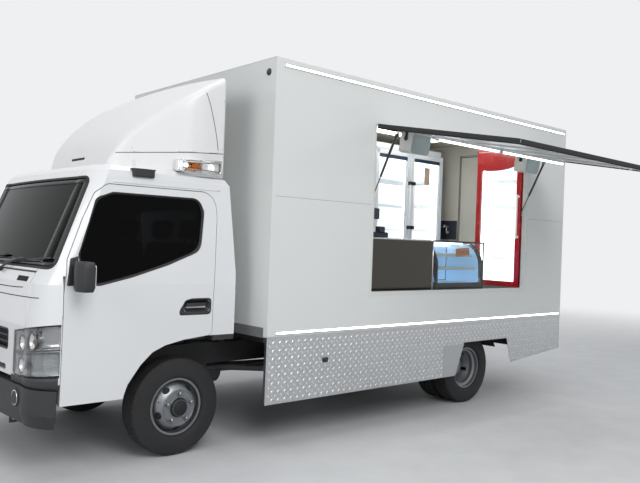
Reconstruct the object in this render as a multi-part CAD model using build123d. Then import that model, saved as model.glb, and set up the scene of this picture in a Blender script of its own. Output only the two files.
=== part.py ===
from build123d import *
import math
import os

os.makedirs("parts", exist_ok=True)

# Frame: +X forward, +Y to the vehicle's left, +Z up, millimetres.
# The origin is on the ground, on the centre plane, midway between the axles.

# Wheels and axles
WHEELBASE = 3440.0
TYRE_RADIUS = 365.0
TYRE_WIDTH = 205.0
RIM_RADIUS = 203.0
RIM_FLANGE = 18.0
RIM_WIDTH = 152.0
RIM_WALL = 6.0
DISC_OFFSET = 116.0
DISC_WALL = 10.0
HUB_FACE_RADIUS = 128.0
HUB_BORE_RADIUS = 75.0
HAND_HOLES = 5
HAND_HOLE_RADIUS = 19.0
HAND_HOLE_CIRCLE = 150.0
STUDS = 5
STUD_CIRCLE = 104.0
STUD_RADIUS = 14.0
STUD_LENGTH = 26.0
FRONT_WHEEL_Y = 811.0
REAR_OUTER_Y = 898.0
REAR_INNER_Y = 668.0
DRUM_RADIUS = 160.0
KINGPIN_Y = 690.0
KINGPIN_RADIUS = 18.0
SPINDLE_RADIUS = 30.0
BEARING_GAP = 0.3
MOVING_GAP = 5.0

# Chassis
RAIL_OUTER_Y = 375.0
RAIL_WIDTH = 60.0
BEARER_BOTTOM = 812.0
RAIL_TOP = 740.0
RAIL_HEIGHT = 180.0
RAIL_FRONT = 820.0
RAIL_REAR = -4900.0
SPRING_Y = 345.0
SPRING_WIDTH = 50.0
SPRING_EYE = 24.0
SPRING_PIN = 12.0
SPRING_PACK = 46.0
TOW_EYE_X = 985.0
TOW_EYE_Z = 300.0
TOW_EYE_RADIUS = 20.0
TOW_EYE_THICK = 16.0
BUMPER_SHELF = 574.0
BUMPER_TOP = 598.0

# Box body, measured behind the front axle
BOX_FRONT = -610.0
BOX_REAR = -4952.5
BOX_HALF_WIDTH = 1179.0
BOX_TOP = 3070.0
BOX_WALL = 50.0
ROOF_THICK = 70.0
FLOOR_BOTTOM = 870.0
FLOOR_TOP = 950.0
SIDE_BOTTOM = 877.0

# Tread-plate skirts
SKIRT_THICK = 4.0
SKIRT_BOTTOM = 350.0
SKIRT_REAR_BOTTOM = 499.0
SKIRT_ARCH = ((451.0, 355.0), (320.0, 678.0), (-431.0, 678.0), (-524.0, 410.0))

# Service opening and its hatch
OPENING_FRONT = -1748.0
OPENING_REAR = -4167.0
OPENING_BOTTOM = 1213.0
OPENING_BELOW_TOP = 366.0
HATCH_THICK = 30.0
HATCH_GAP = 8.0
HATCH_ANGLE = 80.0
HATCH_HINGES = (-1990.0, -2957.5, -3925.0)
HATCH_EYE = 60.0
HATCH_BARREL = 45.0
HATCH_BARREL_RADIUS = 7.0
HATCH_PIN_RADIUS = 3.0
BATTEN_REAR_IN = 45.0
BATTEN_FRONT_IN = 255.0
SPEAKER_LENGTH = 255.0
SPEAKER_HANG = 185.0
SPEAKER_REAR_IN = 120.0
SPEAKER_FRONT_IN = 210.0
SPEAKER_FROM = 100.0
SPEAKER_TO = 245.0
STRUT_ALONG = 230.0
STRUT_BELOW = 80.0
STRUT_FOOT_IN = 54.0
STRUT_FOOT_BELOW = 664.0
STRUT_INSET = 26.0
STRUT_TUBE_RADIUS = 11.0
STRUT_TUBE_LENGTH = 390.0
STRUT_ROD_RADIUS = 5.0
STRUT_ROD_LENGTH = 350.0

# Rear entry door
ENTRY_RIGHT = -310.0
ENTRY_LEFT = 390.0
ENTRY_BELOW_TOP = 220.0
ENTRY_HINGE_FROM_END = 200.0
ENTRY_HINGE_Y = -307.5
ENTRY_HINGE_RADIUS = 8.0
ENTRY_PIN_RADIUS = 4.0

# Number plate holder on the rear bar
PLATE_HALF = 240.0
PLATE_HOLE_Y = 160.0
PLATE_HOLE_RADIUS = 3.5

# Furniture, measured from the side walls' inner faces and from the ceiling
COUNTER_DEPTH = 569.0
GUARD_IN = 129.0
CABINET_IN = 129.0
CABINET_DEPTH = 500.0
CABINET_TOP_IN = 240.0
FRIDGE_DEPTH = 629.0
FRIDGE_BELOW = 100.0
DRINKS_IN = 77.0
DRINKS_WIDTH = 622.0
DRINKS_BELOW = 120.0

# Light strips
STRIP_LOW_ABOVE = 30.5
STRIP_HIGH_BELOW = 54.0
STRIP_HEIGHT = 14.0
STRIP_DEPTH = 10.0
STRIP_FRONT_INSET = 87.0
STRIP_REAR_INSET = 50.0

# Pins of the glazed doors and the cab doors
DOOR_PIN_RADIUS = 4.0
DOOR_PIN_IN = 8.0
DOOR_PIN_BEHIND = 15.0

# Cab, measured from the front axle
CAB_BACK = -424.0
CAB_SKIN = 50.0
DOOR_THICK = 70.0
DOOR_GAP = 5.0
DOOR_HINGE_X = 880.0
DOOR_HINGE_Y = 982.0
DOOR_HINGES = (862.0, 1078.0)
DOOR_EYE_RADIUS = 8.0
CAB_FLOOR_BOTTOM = 860.0
CAB_FLOOR_TOP = 900.0
CAB_BOTTOM = 900.0
CAB_SPLIT = 1350.0
CAB_LOWER_EDGE = 640.0
TOE_TOP = 1100.0
TILT_X = 1055.0
TILT_Z = 640.0
TILT_Y = 345.0
TILT_PIN_RADIUS = 8.0
TILT_EYE_RADIUS = 16.0
DOOR_OUTLINE = (
    (925.0, 495.0), (925.0, 1230.0), (898.0, 1459.0), (795.0, 1736.0), (716.0, 1916.0),
    (640.0, 1980.0), (-225.0, 1980.0), (-248.0, 1800.0), (-222.0, 1150.0), (-222.0, 905.0),
    (20.0, 880.0), (166.0, 850.0), (268.0, 806.0), (359.0, 721.0), (452.0, 590.0), (483.0, 495.0),
)
DOOR_RADII = (0, 0, 0, 0, 60, 60, 130, 0, 0, 40, 60, 60, 60, 60, 40, 0)
WINDOW_OUTLINE = (
    (838.0, 1491.0), (715.0, 1884.0), (596.0, 1930.0), (-90.0, 1930.0), (-138.0, 1830.0),
    (-108.0, 1537.0), (163.0, 1428.0), (448.0, 1340.0), (681.0, 1284.0), (790.0, 1290.0),
)
WINDOW_RADII = (30, 60, 30, 90, 60, 90, 200, 200, 60, 60)

FRONT_AXLE = WHEELBASE / 2
REAR_AXLE = -WHEELBASE / 2
HUB_HEIGHT = TYRE_RADIUS
INNER_HALF_WIDTH = BOX_HALF_WIDTH - BOX_WALL
CEILING = BOX_TOP - ROOF_THICK
OPENING_TOP = BOX_TOP - OPENING_BELOW_TOP
ENTRY_TOP = BOX_TOP - ENTRY_BELOW_TOP
ENTRY_HINGES = (
    FLOOR_TOP + ENTRY_HINGE_FROM_END,
    (FLOOR_TOP + ENTRY_TOP) / 2,
    ENTRY_TOP - ENTRY_HINGE_FROM_END,
)
STRUT_FOOT_Y = BOX_HALF_WIDTH - STRUT_FOOT_IN
STRUT_FOOT_Z = OPENING_TOP - STRUT_FOOT_BELOW
STRIP_LOW_Z = SIDE_BOTTOM + STRIP_LOW_ABOVE
STRIP_HIGH_Z = BOX_TOP - STRIP_HIGH_BELOW
BOX_X0 = FRONT_AXLE + BOX_REAR
BOX_X1 = FRONT_AXLE + BOX_FRONT


def block(x0, x1, y0, y1, z0, z1):
    """Rectangular solid between two corners."""
    middle = Pos((x0 + x1) / 2, (y0 + y1) / 2, (z0 + z1) / 2)
    return middle * Box(abs(x1 - x0), abs(y1 - y0), abs(z1 - z0))


def outline(points, radius=0.0):
    """Closed flat face; radius is one value or one value a corner."""
    if radius == 0.0:
        return make_face(Polyline(*points, close=True))
    return make_face(FilletPolyline(*points, radius=radius, close=True))


def along_y(face, low, high):
    """A face drawn as (x, z), carried from y = low to y = high."""
    return Plane.XZ.location * Pos(0, 0, -high) * extrude(face, amount=high - low)


def along_x(face, low, high):
    """A face drawn as (y, z), carried from x = low to x = high."""
    return Plane.YZ.location * Pos(0, 0, low) * extrude(face, amount=high - low)


def along_z(face, low, high):
    """A face drawn as (x, y), carried from z = low to z = high."""
    return Pos(0, 0, low) * extrude(face, amount=high - low)


def rod_between(start, end, radius):
    """Round bar between two points."""
    span = Vector(*end) - Vector(*start)
    plane = Plane(origin=Vector(*start), z_dir=span)
    return plane.location * Cylinder(radius, span.length, align=(Align.CENTER, Align.CENTER, Align.MIN))


def cylinder_y(x, z, radius, y0, y1):
    """Cylinder whose axis runs along Y."""
    return rod_between((x, min(y0, y1), z), (x, max(y0, y1), z), radius)


def other_side(shape):
    """The same shape on the right of the vehicle."""
    return mirror(shape, about=Plane.XZ)


def ahead(points):
    """Points measured from the front axle, in the part's frame."""
    return [(FRONT_AXLE + x, z) for x, z in points]


def save(node, *shapes):
    """Write one node: every solid of the given shapes."""
    solids = [solid for shape in shapes for solid in shape.solids()]
    export_step(Compound(children=solids), f"parts/{node}.step")


# Wheels


def revolve_y(points, x, y, side):
    """A (radius, width) outline turned round the Y axis at a wheel centre; width grows to side."""
    face = make_face(Polyline(*[(r, side * w) for r, w in points], close=True))
    placed = Pos(x, y, HUB_HEIGHT) * face
    return revolve(placed, axis=Axis((x, y, HUB_HEIGHT), (0, 1, 0)))


def tyre(x, y):
    half = TYRE_WIDTH / 2
    bead = RIM_WIDTH / 2 - RIM_WALL
    flange = RIM_RADIUS + RIM_FLANGE + 2
    top = TYRE_RADIUS
    points = (
        (RIM_RADIUS + 0.5, -bead + 1), (flange, -bead - 5), (RIM_RADIUS + 40, -half + 4), (RIM_RADIUS + 95, -half),
        (top - 22, -half + 12), (top, -half + 36), (top, half - 36), (top - 22, half - 12),
        (RIM_RADIUS + 95, half), (RIM_RADIUS + 40, half - 4), (flange, bead + 5), (RIM_RADIUS + 0.5, bead - 1),
        (RIM_RADIUS + 60, bead - 6), (top - 30, half - 40), (top - 30, -half + 40), (RIM_RADIUS + 60, -bead + 6),
    )
    return revolve_y(points, x, y, 1)


def rim(x, y, side):
    """Steel wheel: barrel with a drop centre, and a disc pushed out towards side."""
    edge = RIM_WIDTH / 2
    seat = RIM_RADIUS
    well = seat - 24
    wall = RIM_WALL
    barrel = revolve_y(
        (
            (seat + RIM_FLANGE, -edge), (seat, -edge + wall), (seat, -40), (well, -28), (well, 22),
            (seat, 36), (seat, edge - wall), (seat + RIM_FLANGE, edge), (seat + RIM_FLANGE, edge + 3),
            (seat - wall, edge + 1), (seat - wall, 38), (well - wall, 26), (well - wall, -32),
            (seat - wall, -44), (seat - wall, -edge - 1), (seat + RIM_FLANGE, -edge - 3),
        ),
        x, y, side,
    )
    face = DISC_OFFSET
    disc = revolve_y(
        (
            (well - wall / 2, 8), (well - wall / 2, 22), (well - 24, 62), (HUB_FACE_RADIUS + 6, face),
            (HUB_BORE_RADIUS, face), (HUB_BORE_RADIUS, face - DISC_WALL), (HUB_FACE_RADIUS, face - DISC_WALL),
            (well - 34, 56), (well - wall - 4, 8),
        ),
        x, y, side,
    )
    holes = None
    for i in range(HAND_HOLES):
        turn = 2 * math.pi * (i + 0.5) / HAND_HOLES
        hx = x + HAND_HOLE_CIRCLE * math.sin(turn)
        hz = HUB_HEIGHT + HAND_HOLE_CIRCLE * math.cos(turn)
        hole = cylinder_y(hx, hz, HAND_HOLE_RADIUS, y + side * 30, y + side * 140)
        holes = hole if holes is None else holes + hole
    return barrel + (disc - holes)


def studs(x, y0, y1):
    """Wheel nuts on their circle."""
    nuts = []
    for i in range(STUDS):
        turn = 2 * math.pi * i / STUDS
        nx = x + STUD_CIRCLE * math.sin(turn)
        nz = HUB_HEIGHT + STUD_CIRCLE * math.cos(turn)
        nuts.append(cylinder_y(nx, nz, STUD_RADIUS, y0, y1))
    return nuts


def front_wheel():
    """Left front rim fused with the hub and drum that carry it."""
    x = FRONT_AXLE
    seat_y = FRONT_WHEEL_Y + DISC_OFFSET - DISC_WALL
    wheel = rim(x, FRONT_WHEEL_Y, 1)
    hub = cylinder_y(x, HUB_HEIGHT, HUB_FACE_RADIUS - 4, seat_y - 20, seat_y)
    nave = cylinder_y(x, HUB_HEIGHT, 62, seat_y - 120, seat_y + 34)
    drum = cylinder_y(x, HUB_HEIGHT, DRUM_RADIUS, seat_y - 130, seat_y - 20)
    hollow = cylinder_y(x, HUB_HEIGHT, DRUM_RADIUS - 12, seat_y - 131, seat_y - 32)
    bore = cylinder_y(x, HUB_HEIGHT, SPINDLE_RADIUS + BEARING_GAP, seat_y - 131, seat_y + 20)
    body = wheel + hub + (drum - hollow) + nave - bore
    for nut in studs(x, seat_y, seat_y + DISC_WALL + STUD_LENGTH):
        body = body + nut
    return body


def rear_wheel():
    """Left rear twin rims, both bolted to one hub, as one solid."""
    x = REAR_AXLE
    outer = rim(x, REAR_OUTER_Y, -1)
    inner = rim(x, REAR_INNER_Y, 1)
    joint_y = REAR_INNER_Y + DISC_OFFSET
    nave = cylinder_y(x, HUB_HEIGHT, 72, joint_y - 130, joint_y + 70)
    flange = cylinder_y(x, HUB_HEIGHT, HUB_FACE_RADIUS - 4, joint_y - 32, joint_y - DISC_WALL)
    drum = cylinder_y(x, HUB_HEIGHT, DRUM_RADIUS - 6, joint_y - 140, joint_y - 32)
    hollow = cylinder_y(x, HUB_HEIGHT, DRUM_RADIUS - 18, joint_y - 141, joint_y - 44)
    bore = cylinder_y(x, HUB_HEIGHT, SPINDLE_RADIUS + 15 + BEARING_GAP, joint_y - 141, joint_y + 40)
    body = outer + inner + flange + (drum - hollow) + nave - bore
    for nut in studs(x, joint_y - DISC_WALL, joint_y + DISC_WALL + STUD_LENGTH):
        body = body + nut
    return body


def knuckle():
    """Left knuckle: kingpin, two ears and the spindle."""
    x = FRONT_AXLE
    pin = rod_between((x, KINGPIN_Y, HUB_HEIGHT - 72), (x, KINGPIN_Y, HUB_HEIGHT + 72), KINGPIN_RADIUS)
    body = pin
    for z0, z1 in ((-72, -48), (48, 72)):
        body = body + block(x - 30, x + 30, KINGPIN_Y - 26, KINGPIN_Y + 62, HUB_HEIGHT + z0, HUB_HEIGHT + z1)
    body = body + block(x - 40, x + 40, KINGPIN_Y + 44, KINGPIN_Y + 72, HUB_HEIGHT - 72, HUB_HEIGHT + 72)
    end = FRONT_WHEEL_Y + DISC_OFFSET - DISC_WALL + 12
    return body + cylinder_y(x, HUB_HEIGHT, SPINDLE_RADIUS, KINGPIN_Y + 60, end)


def leaf(x, half, middle_z, end_z):
    """Left leaf pack: a flat arc of constant thickness, with an eye at each end."""
    curve = ThreePointArc((x - half, end_z), (x, middle_z), (x + half, end_z))
    upper = ThreePointArc(
        (x - half, end_z + SPRING_PACK * 0.45), (x, middle_z + SPRING_PACK), (x + half, end_z + SPRING_PACK * 0.45)
    )
    ends = [Line(curve @ 0, upper @ 0), Line(curve @ 1, upper @ 1)]
    face = make_face([curve, upper] + ends)
    body = along_y(face, SPRING_Y - SPRING_WIDTH / 2, SPRING_Y + SPRING_WIDTH / 2)
    for end in (-half, half):
        eye_z = end_z + SPRING_PACK * 0.25
        low, high = SPRING_Y - SPRING_WIDTH / 2, SPRING_Y + SPRING_WIDTH / 2
        body = body + cylinder_y(x + end, eye_z, SPRING_EYE, low, high)
        body = body - cylinder_y(x + end, eye_z, SPRING_PIN + BEARING_GAP, low - 1, high + 1)
    return body


def hangers(x, half, end_z):
    """Brackets from the spring eyes up to the rail, on both sides of the eye."""
    made = []
    low, high = SPRING_Y - SPRING_WIDTH / 2, SPRING_Y + SPRING_WIDTH / 2
    top = RAIL_TOP - RAIL_HEIGHT + 8
    for end in (-half, half):
        for y in (low - 8, high + 2):
            made.append(block(x + end - 22, x + end + 22, y, y + 6, end_z - 16, top))
        made.append(cylinder_y(x + end, end_z + SPRING_PACK * 0.25, SPRING_PIN, low - 8, high + 8))
    return made


def front_axle():
    """Forged beam with eyes for the kingpins, on two leaf packs."""
    x = FRONT_AXLE
    beam = block(x - 34, x + 34, -470, 470, 296, 355)
    for side in (1, -1):
        tip = [(side * 455, 296), (side * 665, 332), (side * 665, 398), (side * 455, 352)]
        arm = along_x(outline(tip), x - 30, x + 30)
        eye = rod_between((x, side * KINGPIN_Y, 322), (x, side * KINGPIN_Y, 408), 34)
        hole = rod_between((x, side * KINGPIN_Y, 300), (x, side * KINGPIN_Y, 420), KINGPIN_RADIUS + BEARING_GAP)
        beam = beam + arm + eye - hole
    left = leaf(x, 560, 352, 470)
    inner, outer = SPRING_Y - SPRING_WIDTH / 2, SPRING_Y + SPRING_WIDTH / 2
    pads = block(x - 26, x + 26, inner - 9, outer + 9, 395, 410)
    for y in (inner - 9, outer):
        pads = pads + block(x - 26, x + 26, y, y + 9, 290, 410)
    return beam + left + other_side(left) + pads + other_side(pads)


def rear_axle():
    """Live axle: tube, differential housing and two leaf packs."""
    x = REAR_AXLE
    tube = cylinder_y(x, HUB_HEIGHT, 55, -560, 560)
    spindle = cylinder_y(x, HUB_HEIGHT, SPINDLE_RADIUS + 15, -760, 760)
    bulb = rod_between((x - 110, 0, HUB_HEIGHT), (x + 150, 0, HUB_HEIGHT), 150)
    nose = rod_between((x + 140, 0, HUB_HEIGHT), (x + 260, 0, HUB_HEIGHT + 20), 62)
    body = tube + spindle + bulb + nose
    left = leaf(x, 640, HUB_HEIGHT + 55, 482)
    seat = block(x - 60, x + 60, SPRING_Y - 38, SPRING_Y + 38, HUB_HEIGHT, HUB_HEIGHT + 57)
    return body + seat + other_side(seat) + left + other_side(left)


# Chassis


def chassis_frame():
    """Two rails with cross members, spring hangers, towing eye and the cab's tilt eyes."""
    x0 = FRONT_AXLE + RAIL_REAR
    x1 = FRONT_AXLE + RAIL_FRONT
    bottom = RAIL_TOP - RAIL_HEIGHT
    channel = outline(
        [
            (RAIL_OUTER_Y, bottom), (RAIL_OUTER_Y, RAIL_TOP), (RAIL_OUTER_Y - RAIL_WIDTH, RAIL_TOP),
            (RAIL_OUTER_Y - RAIL_WIDTH, RAIL_TOP - 8), (RAIL_OUTER_Y - 8, RAIL_TOP - 8), (RAIL_OUTER_Y - 8, bottom + 8),
            (RAIL_OUTER_Y - RAIL_WIDTH, bottom + 8), (RAIL_OUTER_Y - RAIL_WIDTH, bottom),
        ]
    )
    rail = along_x(channel, x0, x1)
    frame = rail + other_side(rail)
    for x in (FRONT_AXLE + 780, FRONT_AXLE - 640, FRONT_AXLE - 1500, REAR_AXLE + 420, REAR_AXLE - 420, x0 + 60):
        frame = frame + block(x - 30, x + 30, -RAIL_OUTER_Y + 4, RAIL_OUTER_Y - 4, bottom + 30, RAIL_TOP - 30)
    for x, half, end_z in ((FRONT_AXLE, 560, 470), (REAR_AXLE, 640, 482)):
        for plate in hangers(x, half, end_z):
            frame = frame + plate + other_side(plate)
    inner = RAIL_OUTER_Y - RAIL_WIDTH
    for side in (1, -1):
        frame = frame + block(x1 - 90, FRONT_AXLE + 1046, side * inner, side * RAIL_OUTER_Y, 480, BUMPER_SHELF - 0.3)
        eye_y = side * TILT_Y
        frame = frame + block(
            FRONT_AXLE + 1030, FRONT_AXLE + 1046, eye_y - 10, eye_y + 10, BUMPER_SHELF - 20, TILT_Z - 6
        )
        frame = frame + cylinder_y(FRONT_AXLE + TILT_X, TILT_Z, TILT_EYE_RADIUS, eye_y - 10, eye_y + 10)
        frame = frame - cylinder_y(
            FRONT_AXLE + TILT_X, TILT_Z, TILT_PIN_RADIUS + BEARING_GAP, eye_y - 11, eye_y + 11
        )
    eye_x = FRONT_AXLE + TOW_EYE_X
    eye = block(eye_x - 34, eye_x + 34, inner, inner + TOW_EYE_THICK, TOW_EYE_Z - 34, 500)
    eye = eye - cylinder_y(eye_x, TOW_EYE_Z, TOW_EYE_RADIUS, inner - 1, inner + TOW_EYE_THICK + 1)
    return frame + eye


def bearers():
    """Cross bearers between the rails' tops and the box floor."""
    made = []
    reach = BOX_HALF_WIDTH - 60
    for i in range(8):
        x = BOX_X1 - 120 - i * (BOX_X1 - BOX_X0 - 240) / 7
        beam = block(x - 25, x + 25, -reach, reach, BEARER_BOTTOM, FLOOR_BOTTOM)
        made.append(beam + block(x - 25, x + 25, -RAIL_OUTER_Y, RAIL_OUTER_Y, RAIL_TOP, FLOOR_BOTTOM))
    return made


def driveline():
    """Plain engine block, gearbox, propeller shaft and exhaust."""
    x = FRONT_AXLE
    engine = block(x - 420, x + 480, -270, 270, 420, 800)
    gearbox = rod_between((x - 420, 0, 445), (x - 900, 0, 445), 130)
    shaft = rod_between((x - 900, 0, 445), (REAR_AXLE + 268, 0, HUB_HEIGHT + 20), 42)
    silencer_y, pipe_z = 560, 500
    silencer = rod_between((x - 1150, silencer_y, pipe_z), (x - 1850, silencer_y, pipe_z), 105)
    lead = rod_between((x - 415, 225, pipe_z), (x - 780, 225, pipe_z), 32)
    lead = lead + rod_between((x - 770, 225, pipe_z), (x - 1160, silencer_y, pipe_z), 32)
    tail = rod_between((x - 1845, silencer_y, pipe_z), (x - 2150, silencer_y, pipe_z), 32)
    body = engine + gearbox + shaft + silencer + lead + tail
    for place in (-1310, -1690):
        body = body + block(x + place - 15, x + place + 15, RAIL_OUTER_Y, silencer_y, pipe_z + 92, pipe_z + 112)
    return body


def fuel_tank():
    x = FRONT_AXLE
    face = outline([(-880, 400), (-880, 690), (-440, 690), (-440, 400)], 40)
    tank = along_x(face, x - 1900, x - 1050)
    for place in (-1720, -1230):
        tank = tank + block(x + place - 25, x + place + 25, -450, -RAIL_OUTER_Y, 560, 600)
    return tank


def mudguards():
    """Rear wheel covers: three flat runs of sheet hung from the floor."""
    x = REAR_AXLE
    band = outline(
        [
            (x - 470, 560), (x - 330, 806), (x + 330, 806), (x + 470, 560), (x + 465, 558), (x + 327, 801),
            (x - 327, 801), (x - 465, 558),
        ]
    )
    cover = along_y(band, 556, 1010)
    for place in (-100, 180):
        cover = cover + block(x + place - 20, x + place + 20, 700, 900, 805, FLOOR_BOTTOM)
    return cover


# Box body


def left_wall():
    x0, x1 = BOX_X0, BOX_X1
    wall = block(x0, x1, INNER_HALF_WIDTH, BOX_HALF_WIDTH, SIDE_BOTTOM, BOX_TOP)
    hole = block(
        FRONT_AXLE + OPENING_REAR, FRONT_AXLE + OPENING_FRONT, INNER_HALF_WIDTH - 1, BOX_HALF_WIDTH + 1,
        OPENING_BOTTOM, OPENING_TOP,
    )
    wall = wall - hole
    for x, _ in strut_stations():
        wall = wall + strut_foot(x)
    for place in HATCH_HINGES:
        x = FRONT_AXLE + place
        half = HATCH_EYE / 2 + BEARING_GAP
        wall = wall - hatch_cylinder(x - half, x + half, HATCH_BARREL_RADIUS + 2)
        wall = wall + hatch_cylinder(x - half - HATCH_BARREL, x - half, HATCH_BARREL_RADIUS)
        wall = wall + hatch_cylinder(x + half, x + half + HATCH_BARREL, HATCH_BARREL_RADIUS)
        wall = wall + hatch_cylinder(x - half - 5, x + half + 5, HATCH_PIN_RADIUS)
    return wall


def hatch_cylinder(x0, x1, radius):
    """Round bar on the hatch's hinge line."""
    return rod_between((x0, BOX_HALF_WIDTH, OPENING_TOP), (x1, BOX_HALF_WIDTH, OPENING_TOP), radius)


def strut_stations():
    """Plane of each gas strut and the direction from the jamb into the opening."""
    front = FRONT_AXLE + OPENING_FRONT
    rear = FRONT_AXLE + OPENING_REAR
    return ((front - STRUT_INSET, 1), (rear + STRUT_INSET, -1))


def strut_foot(x):
    """Pin of a strut's lower end, on a plate on the jamb; the rod's end lies beside it."""
    jamb = FRONT_AXLE + (OPENING_FRONT if x > FRONT_AXLE + (OPENING_FRONT + OPENING_REAR) / 2 else OPENING_REAR)
    into = -1 if x < jamb else 1
    plate = block(jamb, jamb + into * 5, STRUT_FOOT_Y - 4, STRUT_FOOT_Y + 24, STRUT_FOOT_Z - 22, STRUT_FOOT_Z + 22)
    pin = rod_between((jamb, STRUT_FOOT_Y, STRUT_FOOT_Z), (jamb + into * 13, STRUT_FOOT_Y, STRUT_FOOT_Z), 6)
    return plate + pin


def right_wall():
    return block(BOX_X0, BOX_X1, -BOX_HALF_WIDTH, -INNER_HALF_WIDTH, SIDE_BOTTOM, BOX_TOP)


def front_wall():
    return block(BOX_X1 - BOX_WALL, BOX_X1, -INNER_HALF_WIDTH, INNER_HALF_WIDTH, FLOOR_TOP, CEILING)


def rear_wall():
    wall = block(BOX_X0, BOX_X0 + BOX_WALL, -INNER_HALF_WIDTH, INNER_HALF_WIDTH, FLOOR_TOP, CEILING)
    wall = wall - block(BOX_X0 - 1, BOX_X0 + BOX_WALL + 1, ENTRY_RIGHT, ENTRY_LEFT, FLOOR_TOP - 1, ENTRY_TOP)
    for z in ENTRY_HINGES:
        wall = wall + entry_knuckle(z - 50, z + 50, ENTRY_PIN_RADIUS)
        for z0, z1 in ((z - 50, z - 20 - BEARING_GAP), (z + 20 + BEARING_GAP, z + 50)):
            wall = wall + entry_knuckle(z0, z1, ENTRY_HINGE_RADIUS)
            wall = wall + block(BOX_X0 - 14, BOX_X0, ENTRY_RIGHT - 60, ENTRY_HINGE_Y - 2, z0, z1)
    return wall


def rear_door():
    g = MOVING_GAP
    leaf_solid = block(BOX_X0, BOX_X0 + BOX_WALL - 5, ENTRY_RIGHT + g, ENTRY_LEFT - g, FLOOR_TOP + g, ENTRY_TOP - g)
    handle = block(BOX_X0 - 28, BOX_X0 - 16, ENTRY_LEFT - 90, ENTRY_LEFT - 66, 1900, 2060)
    posts = block(BOX_X0 - 20, BOX_X0, ENTRY_LEFT - 86, ENTRY_LEFT - 70, 1905, 1925)
    posts = posts + block(BOX_X0 - 20, BOX_X0, ENTRY_LEFT - 86, ENTRY_LEFT - 70, 2035, 2055)
    door = leaf_solid + handle + posts
    for z in ENTRY_HINGES:
        door = door + block(BOX_X0 - 6, BOX_X0, ENTRY_RIGHT + g, ENTRY_RIGHT + 110, z - 20, z + 20)
        door = door + entry_knuckle(z - 20, z + 20, ENTRY_HINGE_RADIUS) + block(
            BOX_X0 - 10, BOX_X0 - 2, ENTRY_HINGE_Y, ENTRY_RIGHT + 20, z - 20, z + 20
        )
        door = door - entry_knuckle(z - 60, z + 60, ENTRY_PIN_RADIUS + BEARING_GAP)
    return door


def entry_knuckle(z0, z1, radius):
    """Upright cylinder on the entry door's hinge line."""
    return rod_between((BOX_X0 - 10, ENTRY_HINGE_Y, z0), (BOX_X0 - 10, ENTRY_HINGE_Y, z1), radius)


def roof():
    return block(BOX_X0, BOX_X1, -INNER_HALF_WIDTH, INNER_HALF_WIDTH, CEILING, BOX_TOP)


def floor():
    return block(BOX_X0, BOX_X1, -INNER_HALF_WIDTH, INNER_HALF_WIDTH, FLOOR_BOTTOM, FLOOR_TOP)


def skirt():
    """Left tread-plate skirt with the rear wheel's arch cut in its lower edge."""
    f = FRONT_AXLE
    arch = [(REAR_AXLE + x, z) for x, z in SKIRT_ARCH]
    face = outline(
        [(BOX_X1, SIDE_BOTTOM), (BOX_X1, SKIRT_BOTTOM)] + arch + [(BOX_X0, SKIRT_REAR_BOTTOM), (BOX_X0, SIDE_BOTTOM)]
    )
    sheet = along_y(face, BOX_HALF_WIDTH - SKIRT_THICK, BOX_HALF_WIDTH)
    for x in (BOX_X1 - 30, f - 1600, REAR_AXLE + 540, REAR_AXLE - 610, BOX_X0 + 30):
        bottom = SKIRT_BOTTOM + 20 if x > REAR_AXLE else SKIRT_REAR_BOTTOM + 20
        sheet = sheet + block(x - 20, x + 20, BOX_HALF_WIDTH - 40, BOX_HALF_WIDTH - SKIRT_THICK, bottom, SIDE_BOTTOM)
    hung = block(BOX_X0, BOX_X1, BOX_HALF_WIDTH - 44, BOX_HALF_WIDTH - SKIRT_THICK, SIDE_BOTTOM - 40, SIDE_BOTTOM)
    return sheet + hung


def light_strips():
    f = FRONT_AXLE
    made = []
    for z in (STRIP_LOW_Z, STRIP_HIGH_Z):
        made.append(
            block(
                BOX_X0 + STRIP_REAR_INSET, BOX_X1 - STRIP_FRONT_INSET, BOX_HALF_WIDTH, BOX_HALF_WIDTH + STRIP_DEPTH,
                z - STRIP_HEIGHT / 2, z + STRIP_HEIGHT / 2,
            )
        )
    for y in (-250, 550):
        made.append(block(f - 4300, f - 1300, y - 60, y + 60, CEILING - 30, CEILING))
    return made


# Things inside the box


def counter():
    """Steel counter under the opening with an upright guard sheet on its top."""
    f = FRONT_AXLE
    x0, x1 = f - 3700, f - 1770
    y0, y1 = INNER_HALF_WIDTH - COUNTER_DEPTH, INNER_HALF_WIDTH
    outer = block(x0, x1, y0, y1, FLOOR_TOP, 1200)
    hollow = block(x0 + 30, x1 - 30, y0 - 1, y1 - 30, FLOOR_TOP + 40, 1160)
    guard_y = INNER_HALF_WIDTH - GUARD_IN
    guard = block(f - 2800, f - 1790, guard_y, guard_y + 3, 1200, 1695)
    return outer - hollow + guard


CABINET_REAR = -3632.0
CABINET_FRONT = -2870.0
CABINET_Y1 = INNER_HALF_WIDTH - CABINET_IN
CABINET_Y0 = CABINET_Y1 - CABINET_DEPTH
CABINET_TOP_Y = CABINET_Y1 - CABINET_TOP_IN


def cabinet_profile(inset):
    """Side outline of the curved-glass cabinet in (y, z)."""
    i = inset
    low, high = 1250.0, 1700.0
    front, back, top_front = CABINET_Y1, CABINET_Y0, CABINET_TOP_Y
    base = Line((back + i, low + i), (front - i, low + i))
    rise = Line((front - i, low + i), (front - i, low + 130))
    bend = ThreePointArc((front - i, low + 130), (front - 60 - i * 0.7, high - 90 - i * 0.7), (top_front, high - i))
    roof_line = Line((top_front, high - i), (back + i, high - i))
    rear = Line((back + i, high - i), (back + i, low + i))
    return make_face([base, rise, bend, roof_line, rear])


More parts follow.
